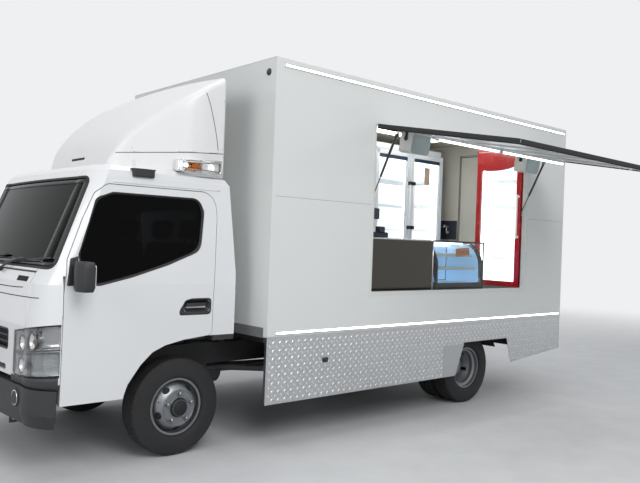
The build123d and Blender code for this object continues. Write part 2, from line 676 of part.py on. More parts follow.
def display_cabinet():
    """Frame of the cabinet: base, two end trims, top bar, shelves."""
    f = FRONT_AXLE
    x0, x1 = f + CABINET_REAR, f + CABINET_FRONT
    base = block(x0, x1, CABINET_Y0, CABINET_Y1, 1200, 1250)
    made = base
    for low, high in ((x0, x0 + 12), (x1 - 12, x1)):
        made = made + (along_x(cabinet_profile(0), low, high) - along_x(cabinet_profile(26), low - 1, high + 1))
    behind = CABINET_Y0 + 20
    made = made + block(x0, x1, CABINET_Y0, behind, 1250, 1270) + block(x0, x1, CABINET_Y0, behind, 1680, 1700)
    made = made + block(x0, x1, CABINET_TOP_Y - 20, CABINET_TOP_Y, 1688, 1700)
    for z, set_back in ((1400, 70), (1540, 120)):
        made = made + block(x0 + 6, x1 - 6, behind, CABINET_Y1 - set_back, z, z + 12)
        for x in (x0 + 6, x1 - 18):
            made = made + block(x, x + 12, CABINET_Y0, behind + 10, z, z + 12)
    return made


def display_glass():
    f = FRONT_AXLE
    x0, x1 = f + CABINET_REAR + 12.3, f + CABINET_FRONT - 12.3
    skin = along_x(cabinet_profile(0), x0, x1) - along_x(cabinet_profile(5), x0 - 1, x1 + 1)
    front_only = block(x0 - 2, x1 + 2, CABINET_TOP_Y + 0.3, CABINET_Y1 + 1, 1250.3, 1701)
    return skin & front_only


def upright_fridge(x0, x1, y0, y1, z0, z1, open_to, shelves):
    """Fridge body: shell open to one side, with shelves. open_to is +Y or +X."""
    wall = 40.0
    outer = block(x0, x1, y0, y1, z0, z1)
    low, high = z0 + 260, z1 - 120
    if open_to == "+Y":
        hollow = block(x0 + wall, x1 - wall, y0 + wall, y1 + 1, low, high)
    else:
        hollow = block(x0 + wall, x1 + 1, y0 + wall, y1 - wall, low, high)
    body = outer - hollow
    for i in range(shelves):
        z = low + (high - low) * (i + 1) / (shelves + 1)
        if open_to == "+Y":
            body = body + block(x0 + wall, x1 - wall, y0 + wall, y1 - 60, z, z + 10)
        else:
            body = body + block(x0 + wall, x1 - 60, y0 + wall, y1 - wall, z, z + 10)
    return body


def end_pins(x, y, z0, z1, radius, into, gap):
    """Upright pins at the two ends of a door that runs from z0 to z1."""
    lower = rod_between((x, y, z0 - gap), (x, y, z0 + into), radius)
    return lower + rod_between((x, y, z1 - into), (x, y, z1 + gap), radius)


FRIDGE_X = (-4720.0, -3440.0)
FRIDGE_BACK = -INNER_HALF_WIDTH
FRIDGE_FRONT = FRIDGE_BACK + FRIDGE_DEPTH
FRIDGE_TOP = CEILING - FRIDGE_BELOW
DRINKS_FRONT = -4300.0
DRINKS_LEFT = INNER_HALF_WIDTH - DRINKS_IN
DRINKS_RIGHT = DRINKS_LEFT - DRINKS_WIDTH
DRINKS_TOP = CEILING - DRINKS_BELOW


DRINKS_DOOR_BOTTOM = 1210.0


def glass_fridge():
    f = FRONT_AXLE
    x_low, x_high = f + FRIDGE_X[0], f + FRIDGE_X[1]
    body = upright_fridge(x_low, x_high, FRIDGE_BACK, FRIDGE_FRONT, FLOOR_TOP, FRIDGE_TOP, "+Y", 4)
    z0, z1 = FLOOR_TOP + 200, FRIDGE_TOP - 80
    y = FRIDGE_FRONT + MOVING_GAP + 40 - DOOR_PIN_BEHIND
    for x in (x_low + 2 + DOOR_PIN_IN, x_high - 2 - DOOR_PIN_IN):
        body = body + end_pins(x, y, z0, z1, DOOR_PIN_RADIUS, 22, 8)
        for low in (z0 - 14, z1 + 6):
            body = body + block(x - 9, x + 9, FRIDGE_FRONT - 1, y + 9, low, low + 8)
    return body


def drinks_fridge():
    x_front = FRONT_AXLE + DRINKS_FRONT
    body = upright_fridge(BOX_X0 + BOX_WALL, x_front, DRINKS_RIGHT, DRINKS_LEFT, FLOOR_TOP, DRINKS_TOP, "+X", 4)
    z0, z1 = DRINKS_DOOR_BOTTOM, DRINKS_TOP - 80
    x = x_front + MOVING_GAP + 40 - DOOR_PIN_BEHIND
    y = DRINKS_RIGHT + 6 + DOOR_PIN_IN
    body = body + end_pins(x, y, z0, z1, DOOR_PIN_RADIUS, 22, 8)
    for low in (z0 - 14, z1 + 6):
        body = body + block(x_front - 1, x + 9, y - 9, y + 9, low, low + 8)
    return body


def fridge_door(which):
    """One of the two glazed doors: a frame, a pane and a bar handle."""
    f = FRONT_AXLE
    x0, x1 = f + FRIDGE_X[0], f + FRIDGE_X[1]
    middle = (x0 + x1) / 2
    low, high = (x0 + 2, middle - 4) if which == "rear" else (middle + 4, x1 - 2)
    y0 = FRIDGE_FRONT + MOVING_GAP
    y1 = y0 + 40
    z0, z1 = FLOOR_TOP + 200, FRIDGE_TOP - 80
    leaf_solid = block(low, high, y0, y1, z0, z1) - block(low + 60, high - 60, y0 - 1, y1 + 1, z0 + 60, z1 - 60)
    pane = block(low + 59, high - 59, y0 + 15, y0 + 25, z0 + 59, z1 - 59)
    grip_x = high - 30 if which == "rear" else low + 30
    grip = rod_between((grip_x, y1 + 32, z0 + 700), (grip_x, y1 + 32, z0 + 1300), 11)
    for z in (z0 + 720, z0 + 1280):
        grip = grip + rod_between((grip_x, y1 - 1, z), (grip_x, y1 + 32, z), 8)
    pin_x = low + DOOR_PIN_IN if which == "rear" else high - DOOR_PIN_IN
    return (leaf_solid + pane + grip) - end_pins(pin_x, y1 - DOOR_PIN_BEHIND, z0, z1, DOOR_PIN_RADIUS + BEARING_GAP, 24, 1)


def drinks_door():
    x0 = FRONT_AXLE + DRINKS_FRONT + MOVING_GAP
    x1 = x0 + 40
    y0, y1 = DRINKS_RIGHT + 6, DRINKS_LEFT - 6
    z0, z1 = DRINKS_DOOR_BOTTOM, DRINKS_TOP - 80
    leaf_solid = block(x0, x1, y0, y1, z0, z1) - block(x0 - 1, x1 + 1, y0 + 62, y1 - 62, z0 + 60, z1 - 240)
    pane = block(x0 + 15, x0 + 25, y0 + 61, y1 - 61, z0 + 59, z1 - 239)
    grip = rod_between((x1 + 30, y1 - 30, z0 + 550), (x1 + 30, y1 - 30, z0 + 1050), 10)
    for z in (z0 + 570, z0 + 1030):
        grip = grip + rod_between((x1 - 1, y1 - 30, z), (x1 + 30, y1 - 30, z), 7)
    pins = end_pins(x1 - DOOR_PIN_BEHIND, y0 + DOOR_PIN_IN, z0, z1, DOOR_PIN_RADIUS + BEARING_GAP, 24, 1)
    return (leaf_solid + pane + grip) - pins


# Hatch, drawn shut and turned up about its top edge


def opened(shape):
    """Turn a shape drawn with the hatch shut to the open place."""
    axis = Axis((0, BOX_HALF_WIDTH, OPENING_TOP), (1, 0, 0))
    return shape.rotate(axis, HATCH_ANGLE)


def hatch_span():
    f = FRONT_AXLE
    return f + OPENING_REAR + HATCH_GAP, f + OPENING_FRONT - HATCH_GAP


def hatch_panel():
    x0, x1 = hatch_span()
    y1 = BOX_HALF_WIDTH
    y0 = y1 - HATCH_THICK
    z0, z1 = OPENING_BOTTOM + HATCH_GAP, OPENING_TOP - HATCH_GAP
    panel = block(x0, x1, y0, y1, z0, z1)
    for x, into in strut_stations():
        pin_y = BOX_HALF_WIDTH - STRUT_BELOW
        pin_z = OPENING_TOP - STRUT_ALONG
        plate = block(x - into * 14, x - into * 19, pin_y - 12, y0 + 1, pin_z - 14, pin_z + 14)
        pin = rod_between((x - into * 19, pin_y, pin_z), (x + into * 8, pin_y, pin_z), STRUT_ROD_RADIUS)
        panel = panel + plate + pin
    for place in HATCH_HINGES:
        x = FRONT_AXLE + place
        low, high = x - HATCH_EYE / 2, x + HATCH_EYE / 2
        panel = panel + block(low, high, y1 - 6, y1, z1 - 10, OPENING_TOP)
        panel = panel + hatch_cylinder(low, high, HATCH_BARREL_RADIUS)
        panel = panel - hatch_cylinder(low - 1, high + 1, HATCH_PIN_RADIUS + BEARING_GAP)
    return opened(panel)


def hatch_lights():
    """Two battens on the hatch's inner face."""
    x0, x1 = hatch_span()
    x0, x1 = x0 + BATTEN_REAR_IN, x1 - BATTEN_FRONT_IN
    y = BOX_HALF_WIDTH - HATCH_THICK
    made = []
    for low, high in ((x0, (x0 + x1) / 2 - 10), ((x0 + x1) / 2 + 10, x1)):
        made.append(opened(block(low, high, y - 26, y, OPENING_TOP - 500, OPENING_TOP - 450)))
    return made


def hatch_boxes():
    """The two loudspeaker boxes under the hatch, near its ends."""
    x0, x1 = hatch_span()
    y = BOX_HALF_WIDTH - HATCH_THICK
    made = []
    for low in (x0 + SPEAKER_REAR_IN, x1 - SPEAKER_FRONT_IN - SPEAKER_LENGTH):
        high = low + SPEAKER_LENGTH
        face = outline([(low, y - SPEAKER_HANG), (high, y - SPEAKER_HANG), (high, y), (low, y)], (40, 40, 0, 0))
        made.append(opened(along_z(face, OPENING_TOP - SPEAKER_TO, OPENING_TOP - SPEAKER_FROM)))
    return made


def strut_points():
    """Ends of a strut with the hatch open, as (y, z)."""
    turn = math.radians(HATCH_ANGLE)
    along = (math.sin(turn), -math.cos(turn))
    inward = (-math.cos(turn), -math.sin(turn))
    top = (
        BOX_HALF_WIDTH + STRUT_ALONG * along[0] + STRUT_BELOW * inward[0],
        OPENING_TOP + STRUT_ALONG * along[1] + STRUT_BELOW * inward[1],
    )
    return top, (STRUT_FOOT_Y, STRUT_FOOT_Z)


def strut_at(x, distance):
    """A point on the strut's line, at a distance from its upper pin."""
    top, foot = strut_points()
    length = math.hypot(foot[0] - top[0], foot[1] - top[1])
    k = distance / length
    return (x, top[0] + (foot[0] - top[0]) * k, top[1] + (foot[1] - top[1]) * k)


def strut_tube(x):
    eye = rod_between((x - 9, *strut_at(x, 0)[1:]), (x + 9, *strut_at(x, 0)[1:]), 13)
    barrel = rod_between(strut_at(x, 12), strut_at(x, STRUT_TUBE_LENGTH), STRUT_TUBE_RADIUS)
    bore = rod_between(strut_at(x, 50), strut_at(x, STRUT_TUBE_LENGTH + 1), STRUT_ROD_RADIUS + BEARING_GAP)
    hole = rod_between((x - 20, *strut_at(x, 0)[1:]), (x + 20, *strut_at(x, 0)[1:]), STRUT_ROD_RADIUS + BEARING_GAP)
    return eye + barrel - bore - hole


def strut_rod(x, into):
    top, foot = strut_points()
    length = math.hypot(foot[0] - top[0], foot[1] - top[1])
    bar = rod_between(strut_at(x, length - STRUT_ROD_LENGTH), strut_at(x, length), STRUT_ROD_RADIUS)
    end = rod_between((x - 9, *foot), (x + 9, *foot), 11)
    return bar + end


# Cab: level sections joined by ruled sides

# columns: height, nose x, half width, corner depth, corner width
CAB_SECTIONS = (
    (495.0, 1085.0, 985.0, 150.0, 300.0),
    (640.0, 1092.0, 990.0, 150.0, 300.0),
    (1000.0, 1092.0, 997.0, 150.0, 300.0),
    (1290.0, 1070.0, 997.0, 150.0, 300.0),
    (1380.0, 1030.0, 993.0, 130.0, 280.0),
    (2040.0, 760.0, 955.0, 120.0, 260.0),
    (2085.0, 735.0, 945.0, 110.0, 250.0),
    (2120.0, 690.0, 905.0, 100.0, 240.0),
)
CAB_BOW = 26.0
CAB_BACK_LEAN = ((495.0, 0.0), (1950.0, 0.0), (2040.0, 60.0), (2085.0, 100.0), (2120.0, 170.0))


def lean_at(z):
    """How far the cab's back face is forward of its lower part at a height."""
    table = CAB_BACK_LEAN
    for (z0, a), (z1, b) in zip(table, table[1:]):
        if z <= z1:
            return a + (b - a) * max(0.0, z - z0) / (z1 - z0)
    return table[-1][1]


def cab_ring(z, nose, half, depth, width, inset, top_inset):
    """Level outline of the cab at one height, moved in by inset."""
    f = FRONT_AXLE
    x_nose = f + nose - inset
    h = half - inset
    back = f + CAB_BACK + lean_at(z) + inset
    side_x = f + nose - depth
    shoulder = half - width
    bow_x = x_nose - CAB_BOW
    mid_x = side_x + (bow_x - side_x) * 0.7071
    mid_y = shoulder + (h - shoulder) * 0.7071
    left = Line((back, h), (side_x, h))
    left_corner = ThreePointArc((side_x, h), (mid_x, mid_y), (bow_x, shoulder))
    front = ThreePointArc((bow_x, shoulder), (x_nose, 0), (bow_x, -shoulder))
    right_corner = ThreePointArc((bow_x, -shoulder), (mid_x, -mid_y), (side_x, -h))
    right = Line((side_x, -h), (back, -h))
    rear = Line((back, -h), (back, h))
    wire = Wire([left, left_corner, front, right_corner, right, rear])
    return Pos(0, 0, z - top_inset) * wire


def cab_block(inset, roof_drop):
    """The cab's closed outer form moved in by inset, its roof lowered by roof_drop."""
    rings = []
    for z, nose, half, depth, width in CAB_SECTIONS:
        drop = roof_drop if z > 1900 else 0.0
        rings.append(cab_ring(z, nose, half, depth, width, inset, drop))
    return Solid.make_loft(rings, ruled=True)


def door_prism(grow, side):
    """The door's outline carried through the cab's side, larger by grow."""
    face = outline(ahead(DOOR_OUTLINE), DOOR_RADII)
    if grow:
        face = offset(face, amount=grow).faces()[0]
    return along_y(face, 700, 1100) if side > 0 else along_y(face, -1100, -700)


def window_prism(grow):
    face = outline(ahead(WINDOW_OUTLINE), WINDOW_RADII)
    if grow:
        face = offset(face, amount=grow).faces()[0]
    return along_y(face, 700, 1100)


SCREEN_OUTLINE = ((-915.0, 1392.0), (915.0, 1392.0), (868.0, 2032.0), (-868.0, 2032.0))


def screen_prism(grow):
    face = outline(SCREEN_OUTLINE, 60)
    if grow:
        face = offset(face, amount=grow).faces()[0]
    return along_x(face, FRONT_AXLE + 560, FRONT_AXLE + 1200)


LAMP_OUTLINE = ((515.0, 652.0), (640.0, 646.0), (1010.0, 686.0), (1010.0, 1036.0), (525.0, 956.0))


def lamp_prism(grow):
    face = outline(LAMP_OUTLINE, (30, 60, 0, 0, 20))
    if grow:
        face = offset(face, amount=grow).faces()[0]
    return along_x(face, FRONT_AXLE + 936, FRONT_AXLE + 1200)


def make_cab():
    """Cut the hollow cab form into its panels, doors, glass and lamps."""
    f = FRONT_AXLE
    outer = cab_block(0, 0)
    skin = outer - cab_block(CAB_SKIN, CAB_SKIN)
    thick_skin = outer - cab_block(DOOR_THICK, DOOR_THICK)
    doors_cut = door_prism(DOOR_GAP, 1) + door_prism(DOOR_GAP, -1)

    above = block(f - 600, f + 1200, -1100, 1100, CAB_SPLIT, 2200)
    behind = block(f - 600, f + 300, -1100, 1100, CAB_BOTTOM, CAB_SPLIT)
    upper = (skin & above) + (skin & behind) - doors_cut - screen_prism(0)
    rear_window = along_x(outline([(-520, 1440), (520, 1440), (520, 1860), (-520, 1860)], 70), f - 600, f - 200)
    upper = upper - rear_window
    save("cab_upper", upper)

    lamps_cut = lamp_prism(0.5) + other_side(lamp_prism(0.5))
    front_zone = block(f + 930, f + 1200, -1100, 1100, CAB_LOWER_EDGE, CAB_SPLIT)
    panel = (skin & front_zone) - doors_cut - lamps_cut
    grille_cut = along_x(outline(GRILLE_OUTLINE, 20), f + 900, f + 1200)
    lower_cut = along_x(outline(INTAKE_OUTLINE, 16), f + 900, f + 1200)
    panel = panel - grille_cut - lower_cut
    for side in (1, -1):
        y = side * TILT_Y
        panel = panel - cylinder_y(f + TILT_X, TILT_Z, TILT_EYE_RADIUS + 4, y - 12, y + 12)
        panel = panel + cylinder_y(f + TILT_X, TILT_Z, TILT_PIN_RADIUS, y - 30, y + 30)
    save("cab_front_panel", panel)

    mesh_zone = block(f + 930, f + 1200, -1100, 1100, CAB_LOWER_EDGE, 1000)
    liner = (cab_block(22, 22) - cab_block(38, 38)) & mesh_zone
    grille_face = offset(outline(GRILLE_OUTLINE, 20), amount=-0.5).faces()[0]
    lower_face = offset(outline(INTAKE_OUTLINE, 16), amount=-0.5).faces()[0]
    grille = liner & along_x(grille_face, f + 900, f + 1200)
    intake = liner & along_x(lower_face, f + 900, f + 1200)
    slats = []
    bar_zone = cab_block(4, 4) - cab_block(24, 24)
    for z in GRILLE_BARS:
        bar = bar_zone & block(f + 930, f + 1200, -1100, 1100, z - 7, z + 7)
        slats.append(bar & along_x(grille_face, f + 900, f + 1200))
    for slat in slats:
        grille = grille + slat
    save("grille", grille, intake)

    glass_skin = cab_block(6, 6) - cab_block(12, 12)
    screen_face = offset(outline(SCREEN_OUTLINE, 60), amount=-0.5).faces()[0]
    save("windscreen", glass_skin & along_x(screen_face, f + 560, f + 1200))

    lamp_skin = cab_block(3, 3) - cab_block(CAB_SKIN - 2, CAB_SKIN - 2)
    left_lamp = lamp_skin & lamp_prism(0) - door_prism(DOOR_GAP, 1)
    marker = roof_lamps()
    save("cab_lamps", left_lamp, other_side(left_lamp), marker, other_side(marker))

    door = (thick_skin & door_prism(0, 1)) - window_prism(0) - handle_pocket()
    door = door - block(f + DOOR_HINGE_X, f + 930, 700, 945, 400, 1340)
    for z in DOOR_HINGES:
        pin = rod_between(
            (f + DOOR_HINGE_X, DOOR_HINGE_Y, z - 20), (f + DOOR_HINGE_X, DOOR_HINGE_Y, z + 20), DOOR_PIN_RADIUS
        )
        door = door - block(f + DOOR_HINGE_X - 14, f + 930, 900, 991, z - 14, z + 14) + pin
    save("door_left", door)
    save("door_right", other_side(door))
    pane_skin = cab_block(14, 14) - cab_block(19, 19)
    pane = pane_skin & window_prism(-0.5)
    save("door_glass_left", pane)
    save("door_glass_right", other_side(pane))


GRILLE_OUTLINE = ((-425.0, 815.0), (425.0, 815.0), (425.0, 950.0), (-425.0, 950.0))
GRILLE_BARS = (860.0, 905.0)
INTAKE_OUTLINE = ((-400.0, 664.0), (400.0, 664.0), (400.0, 704.0), (-400.0, 704.0))


def handle_pocket():
    """Recess of the door's pull handle in the left side."""
    f = FRONT_AXLE
    pocket = outline([(f - 200, 1080), (f + 30, 1080), (f + 30, 1175), (f - 200, 1175)], 40)
    return along_y(pocket, 975, 1010)


def roof_lamps():
    """Clear marker lamp block on the left edge of the cab roof."""
    f = FRONT_AXLE
    face = outline([(f - 272, 2112), (f + 92, 2124), (f + 92, 2212), (f - 272, 2232)], 14)
    lamp = along_y(face, 840, 984)
    return lamp - deflector_form(-0.3, 0) - cab_block(-0.3, -0.3)


def cab_floor():
    """Floor pan, inner arch walls and the two step wells."""
    f = FRONT_AXLE
    inside = 893.0
    well_outer = 890.0
    door_back = -222.0 - 2 * DOOR_GAP
    pan = block(f + door_back, f + 1100, -inside, inside, CAB_FLOOR_BOTTOM, CAB_FLOOR_TOP)
    pan = pan & cab_block(CAB_SKIN, CAB_SKIN)
    pan = pan + (block(f + CAB_BACK, f + door_back, -1000, 1000, CAB_FLOOR_BOTTOM, CAB_FLOOR_TOP) & cab_block(0, 0))
    well_hole = block(f + 520, f + 900, 640, well_outer + 10, CAB_FLOOR_BOTTOM - 1, CAB_FLOOR_TOP + 1)
    pan = pan - well_hole - other_side(well_hole)
    well = block(f + 500, f + 915, 620, well_outer, 510, CAB_FLOOR_TOP)
    well = well - block(f + 520, f + 900, 640, well_outer + 1, 530, CAB_FLOOR_TOP + 1)
    toe = block(f + 900, f + 915, -inside, inside, CAB_FLOOR_TOP - 1, TOE_TOP)
    arms = hinge_arm(DOOR_HINGES[0]) + hinge_arm(DOOR_HINGES[1])
    return pan + well + other_side(well) + toe + arms + other_side(arms)


def hinge_arm(z):
    """Left goose-neck of a door hinge, from the floor's front upright to the eye."""
    x = FRONT_AXLE + DOOR_HINGE_X
    neck = block(x - 8, x + 8, 915, DOOR_HINGE_Y, z - 8, z + 8)
    neck = neck + block(x - 8, FRONT_AXLE + 915, 905, 930, z - 8, z + 8)
    neck = neck + block(FRONT_AXLE + 900, FRONT_AXLE + 915, 880, 930, z - 8, z + 8)
    neck = neck + rod_between((x, DOOR_HINGE_Y, z - 8), (x, DOOR_HINGE_Y, z + 8), DOOR_EYE_RADIUS)
    hole = rod_between((x, DOOR_HINGE_Y, z - 9), (x, DOOR_HINGE_Y, z + 9), DOOR_PIN_RADIUS + BEARING_GAP)
    return neck - hole


def dashboard():
    f = FRONT_AXLE
    face = outline(
        [
            (f + 940, TOE_TOP + BEARING_GAP), (f + 960, 1330), (f + 900, 1375), (f + 740, 1330), (f + 700, 1190),
            (f + 740, TOE_TOP + BEARING_GAP),
        ],
        25,
    )
    body = along_y(face, -900, 900)
    wheel_plane = Plane(origin=(f + 560, -430, 1330), z_dir=(-0.55, 0, 0.84))
    ring = wheel_plane.location * Torus(195, 15)
    hub = wheel_plane.location * Cylinder(55, 36)
    spokes = wheel_plane.location * (Box(380, 30, 14) + Box(30, 380, 14))
    column = rod_between((f + 560, -430, 1330), (f + 760, -430, 1210), 32)
    body = body & (cab_block(CAB_SKIN + 20, CAB_SKIN + 20))
    return body, ring + hub + spokes + column


def seats():
    """Driver's seat and a double passenger bench: base, cushion and back."""
    f = FRONT_AXLE
    made = []
    for y0, y1 in ((-800, -200), (-120, 800)):
        base = block(f - 230, f + 250, y0 + 30, y1 - 30, CAB_FLOOR_TOP, 1020)
        cushion = along_y(outline([(f - 260, 1010), (f + 290, 1010), (f + 290, 1150), (f - 260, 1130)], 35), y0, y1)
        back = along_y(outline([(f - 245, 1060), (f - 100, 1070), (f - 220, 1780), (f - 330, 1780)], 35), y0, y1)
        made += [base + cushion + back]
    return made


# columns: distance ahead of the front axle, half width, side crease, centre top
DEFLECTOR = (
    (475.0, 500.0, 2140.0, 2146.0),
    (450.0, 570.0, 2223.0, 2240.0),
    (420.0, 608.0, 2294.0, 2316.0),
    (380.0, 643.0, 2359.0, 2384.0),
    (300.0, 704.0, 2448.0, 2476.0),
    (200.0, 777.0, 2541.0, 2572.0),
    (100.0, 858.0, 2621.0, 2654.0),
    (0.0, 925.0, 2692.0, 2726.0),
    (-120.0, 950.0, 2775.0, 2810.0),
    (-300.0, 950.0, 2880.0, 2915.0),
)
DEFLECTOR_LOW = 2098.0
DEFLECTOR_WALL = 6.0
DEFLECTOR_FEET = ((300.0, 704.0), (-180.0, 950.0))


def deflector_form(inset, shift):
    """Upright sections from front to back: flat base, leaning sides, arched top."""
    rings = []
    for x, half, crease, top in DEFLECTOR:
        w = half - inset
        c = crease - inset
        base_z = DEFLECTOR_LOW - (60.0 if inset > 0 else 0.0)
        a = (-w, base_z)
        b = (w, base_z)
        c_right = (w, c)
        c_left = (-w, c)
        edges = [Line(a, b), Line(b, c_right), ThreePointArc(c_right, (0, top - inset), c_left), Line(c_left, a)]
        rings.append(Plane.YZ.location * Pos(0, 0, FRONT_AXLE + x + shift) * Wire(edges))
    return Solid.make_loft(rings, ruled=True)


def wind_deflector():
    """Hollow roof fairing, open behind and below, on two feet."""
    f = FRONT_AXLE
    shell = deflector_form(0, 0) - deflector_form(DEFLECTOR_WALL, -DEFLECTOR_WALL)
    for side in (1, -1):
        for x, half in DEFLECTOR_FEET:
            shell = shell + block(f + x - 25, f + x + 25, side * (half - 70), side * (half - 1), DEFLECTOR_LOW, 2200)
    return shell - cab_block(0, -0.3)


def bumper():
    """Dark front bumper below the cab, with side returns, on the rails' ends."""
    f = FRONT_AXLE
    rings = [
        cab_ring(z, nose, half, 150.0, 300.0, 0.0, 0.0)
        for z, nose, half in ((340.0, 1075.0, 970.0), (430.0, 1105.0, 985.0), (BUMPER_TOP, 1100.0, 985.0))
    ]
    inner = [
        cab_ring(z, nose, half, 150.0, 300.0, 45.0, 0.0)
        for z, nose, half in ((339.0, 1075.0, 970.0), (430.0, 1105.0, 985.0), (BUMPER_SHELF, 1100.0, 985.0))
    ]
    form = Solid.make_loft(rings, ruled=True) - Solid.make_loft(inner, ruled=True)
    form = form & block(f + 945, f + 1200, -1100, 1100, 330, 610)
    for side in (1, -1):
        y = side * TILT_Y
        form = form - block(f + 1026, f + 1050, y - 14, y + 14, BUMPER_SHELF - 1, BUMPER_TOP + 1)
    return form


def rear_bar():
    """Underrun bar with the lamp boxes at its ends, on two drops from the rails."""
    x = BOX_X0 + 70
    bar = block(x - 50, x + 50, -1000, 1000, 460, RAIL_TOP - RAIL_HEIGHT)
    plate = block(x - 60, x - 50, -PLATE_HALF, PLATE_HALF, 465, 555)
    for side in (1, -1):
        bar = bar + block(x - 60, x - 50, side * 720, side * 1000, 455, 565)
        hole = rod_between((x - 61, side * PLATE_HOLE_Y, 540), (x - 49.9, side * PLATE_HOLE_Y, 540), PLATE_HOLE_RADIUS)
        plate = plate - hole
    return bar + plate


def mirror_left():
    f = FRONT_AXLE
    shape = [(f + 800, 1015), (f + 885, 1015), (f + 905, 1110), (f + 880, 1215), (f + 800, 1215)]
    head = along_z(outline(shape, (12, 30, 60, 35, 12)), 1255, 1455)
    foot = block(f + 830, f + 870, 970, 1030, 1290, 1420)
    return (head + foot) - cab_block(-0.3, -0.3)


def write_all():
    x, rear = FRONT_AXLE, REAR_AXLE
    save("chassis_frame", chassis_frame())
    save("body_bearers", *bearers())
    save("front_axle", front_axle())
    save("rear_axle", rear_axle())
    save("driveline", driveline())
    save("fuel_tank", fuel_tank())
    guard = mudguards()
    save("mudguards", guard, other_side(guard))
    save("front_bumper", bumper())
    save("rear_bar", rear_bar())
    save("body_floor", floor())
    save("body_left_wall", left_wall())
    save("body_right_wall", right_wall())
    save("body_front_wall", front_wall())
    save("body_rear_wall", rear_wall())
    save("body_roof", roof())
    left_skirt = skirt()
    save("body_skirts", left_skirt, other_side(left_skirt))
    save("light_strips", *light_strips())
    save("rear_door", rear_door())
    save("counter", counter())
    save("display_cabinet", display_cabinet())
    save("display_glass", display_glass())
    save("glass_fridge", glass_fridge())
    save("drinks_fridge", drinks_fridge())
    save("fridge_door_front", fridge_door("front"))
    save("fridge_door_rear", fridge_door("rear"))
    save("drinks_fridge_door", drinks_door())
    save("hatch_panel", hatch_panel())
    save("hatch_lights", *hatch_lights())
    save("hatch_speakers", *hatch_boxes())
    for name, (x_strut, into) in zip(("front", "rear"), strut_stations()):
        save(f"strut_tube_{name}", strut_tube(x_strut))
        save(f"strut_rod_{name}", strut_rod(x_strut, into))
    make_cab()
    save("cab_floor", cab_floor())
    dash, wheel = dashboard()
    save("dashboard", dash, wheel)
    save("seats", *seats())
    save("wind_deflector", wind_deflector())
    mirror_solid = mirror_left()
    save("mirror_left", mirror_solid)
    save("mirror_right", other_side(mirror_solid))
    pivot = knuckle()
    save("knuckle_left", pivot)
    save("knuckle_right", other_side(pivot))
    rim_front = front_wheel()
    rim_rear = rear_wheel()
    tyre_front = tyre(x, FRONT_WHEEL_Y)
    tyres_rear = [tyre(rear, REAR_OUTER_Y), tyre(rear, REAR_INNER_Y)]
    save("rim_front_left", rim_front)
    save("rim_front_right", other_side(rim_front))
    save("rim_rear_left", rim_rear)
    save("rim_rear_right", other_side(rim_rear))
    save("tyre_front_left", tyre_front)
    save("tyre_front_right", other_side(tyre_front))
    save("tyres_rear_left", *tyres_rear)
    save("tyres_rear_right", *[other_side(one) for one in tyres_rear])


write_all()
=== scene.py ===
import math

import bmesh
import bpy
import numpy as np
from mathutils import Matrix


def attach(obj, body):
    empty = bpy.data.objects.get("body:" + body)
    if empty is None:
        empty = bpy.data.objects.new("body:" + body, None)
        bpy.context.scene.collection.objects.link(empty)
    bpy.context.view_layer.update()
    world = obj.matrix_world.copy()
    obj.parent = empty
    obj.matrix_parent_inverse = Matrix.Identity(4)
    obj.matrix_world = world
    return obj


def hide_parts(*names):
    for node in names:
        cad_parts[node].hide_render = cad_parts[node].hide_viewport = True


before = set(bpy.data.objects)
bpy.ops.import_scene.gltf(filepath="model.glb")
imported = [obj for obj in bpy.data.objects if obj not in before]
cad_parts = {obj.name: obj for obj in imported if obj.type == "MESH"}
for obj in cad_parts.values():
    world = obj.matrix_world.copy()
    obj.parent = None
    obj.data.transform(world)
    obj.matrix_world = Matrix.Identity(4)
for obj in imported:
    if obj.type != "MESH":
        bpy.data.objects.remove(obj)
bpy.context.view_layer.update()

# Metres: x ahead, y to the left, z up. A place on the truck is mostly given ahead of its front axle.

FRONT, REAR = 1.720, -1.720
HUB = 0.365
BOX_FRONT, BOX_REAR = FRONT - 0.610, FRONT - 4.9525
SIDE = 1.179
OPEN_FRONT, OPEN_REAR, OPEN_LOW, OPEN_HIGH = FRONT - 1.748, FRONT - 4.167, 1.213, 2.704
INNER, FLOOR, CEILING = SIDE - 0.050, 0.950, 3.000
REAR_FACE, FRONT_FACE = BOX_REAR + 0.050, BOX_FRONT - 0.050
HANDS = ((1, "left"), (-1, "right"))
COUNTER = 1.200
BLACK = ("black_plastic", "black_plastic")


# Surfaces


def mesh_piece(name, points, faces, smooth=True):
    """Object at the origin from an array of points and a list of faces."""
    mesh = bpy.data.meshes.new(name)
    mesh.from_pydata(np.asarray(points, float).reshape(-1, 3).tolist(), [], faces)
    mesh.validate()
    mesh.polygons.foreach_set("use_smooth", np.full(len(mesh.polygons), smooth))
    mesh.update()
    piece = bpy.data.objects.new(name, mesh)
    bpy.context.collection.objects.link(piece)
    return piece


def grid_faces(rows, columns, wrap_rows=False, wrap_columns=False, start=0):
    """Quads of a grid whose point (i, j) has number i * columns + j."""
    i, j = np.indices((rows - (not wrap_rows), columns - (not wrap_columns))).reshape(2, -1)
    i2, j2 = (i + 1) % rows, (j + 1) % columns
    corners = [i * columns + j, i * columns + j2, i2 * columns + j2, i2 * columns + j]
    return (np.stack(corners, 1) + start).tolist()


def outward(points, faces, smooth):
    """Closed piece with its doubles merged and its faces turned to point out."""
    piece = mesh_piece("part", points, faces, smooth)
    shape = bmesh.new()
    shape.from_mesh(piece.data)
    bmesh.ops.remove_doubles(shape, verts=shape.verts, dist=1e-6)
    bmesh.ops.recalc_face_normals(shape, faces=shape.faces)
    shape.to_mesh(piece.data)
    shape.free()
    return piece


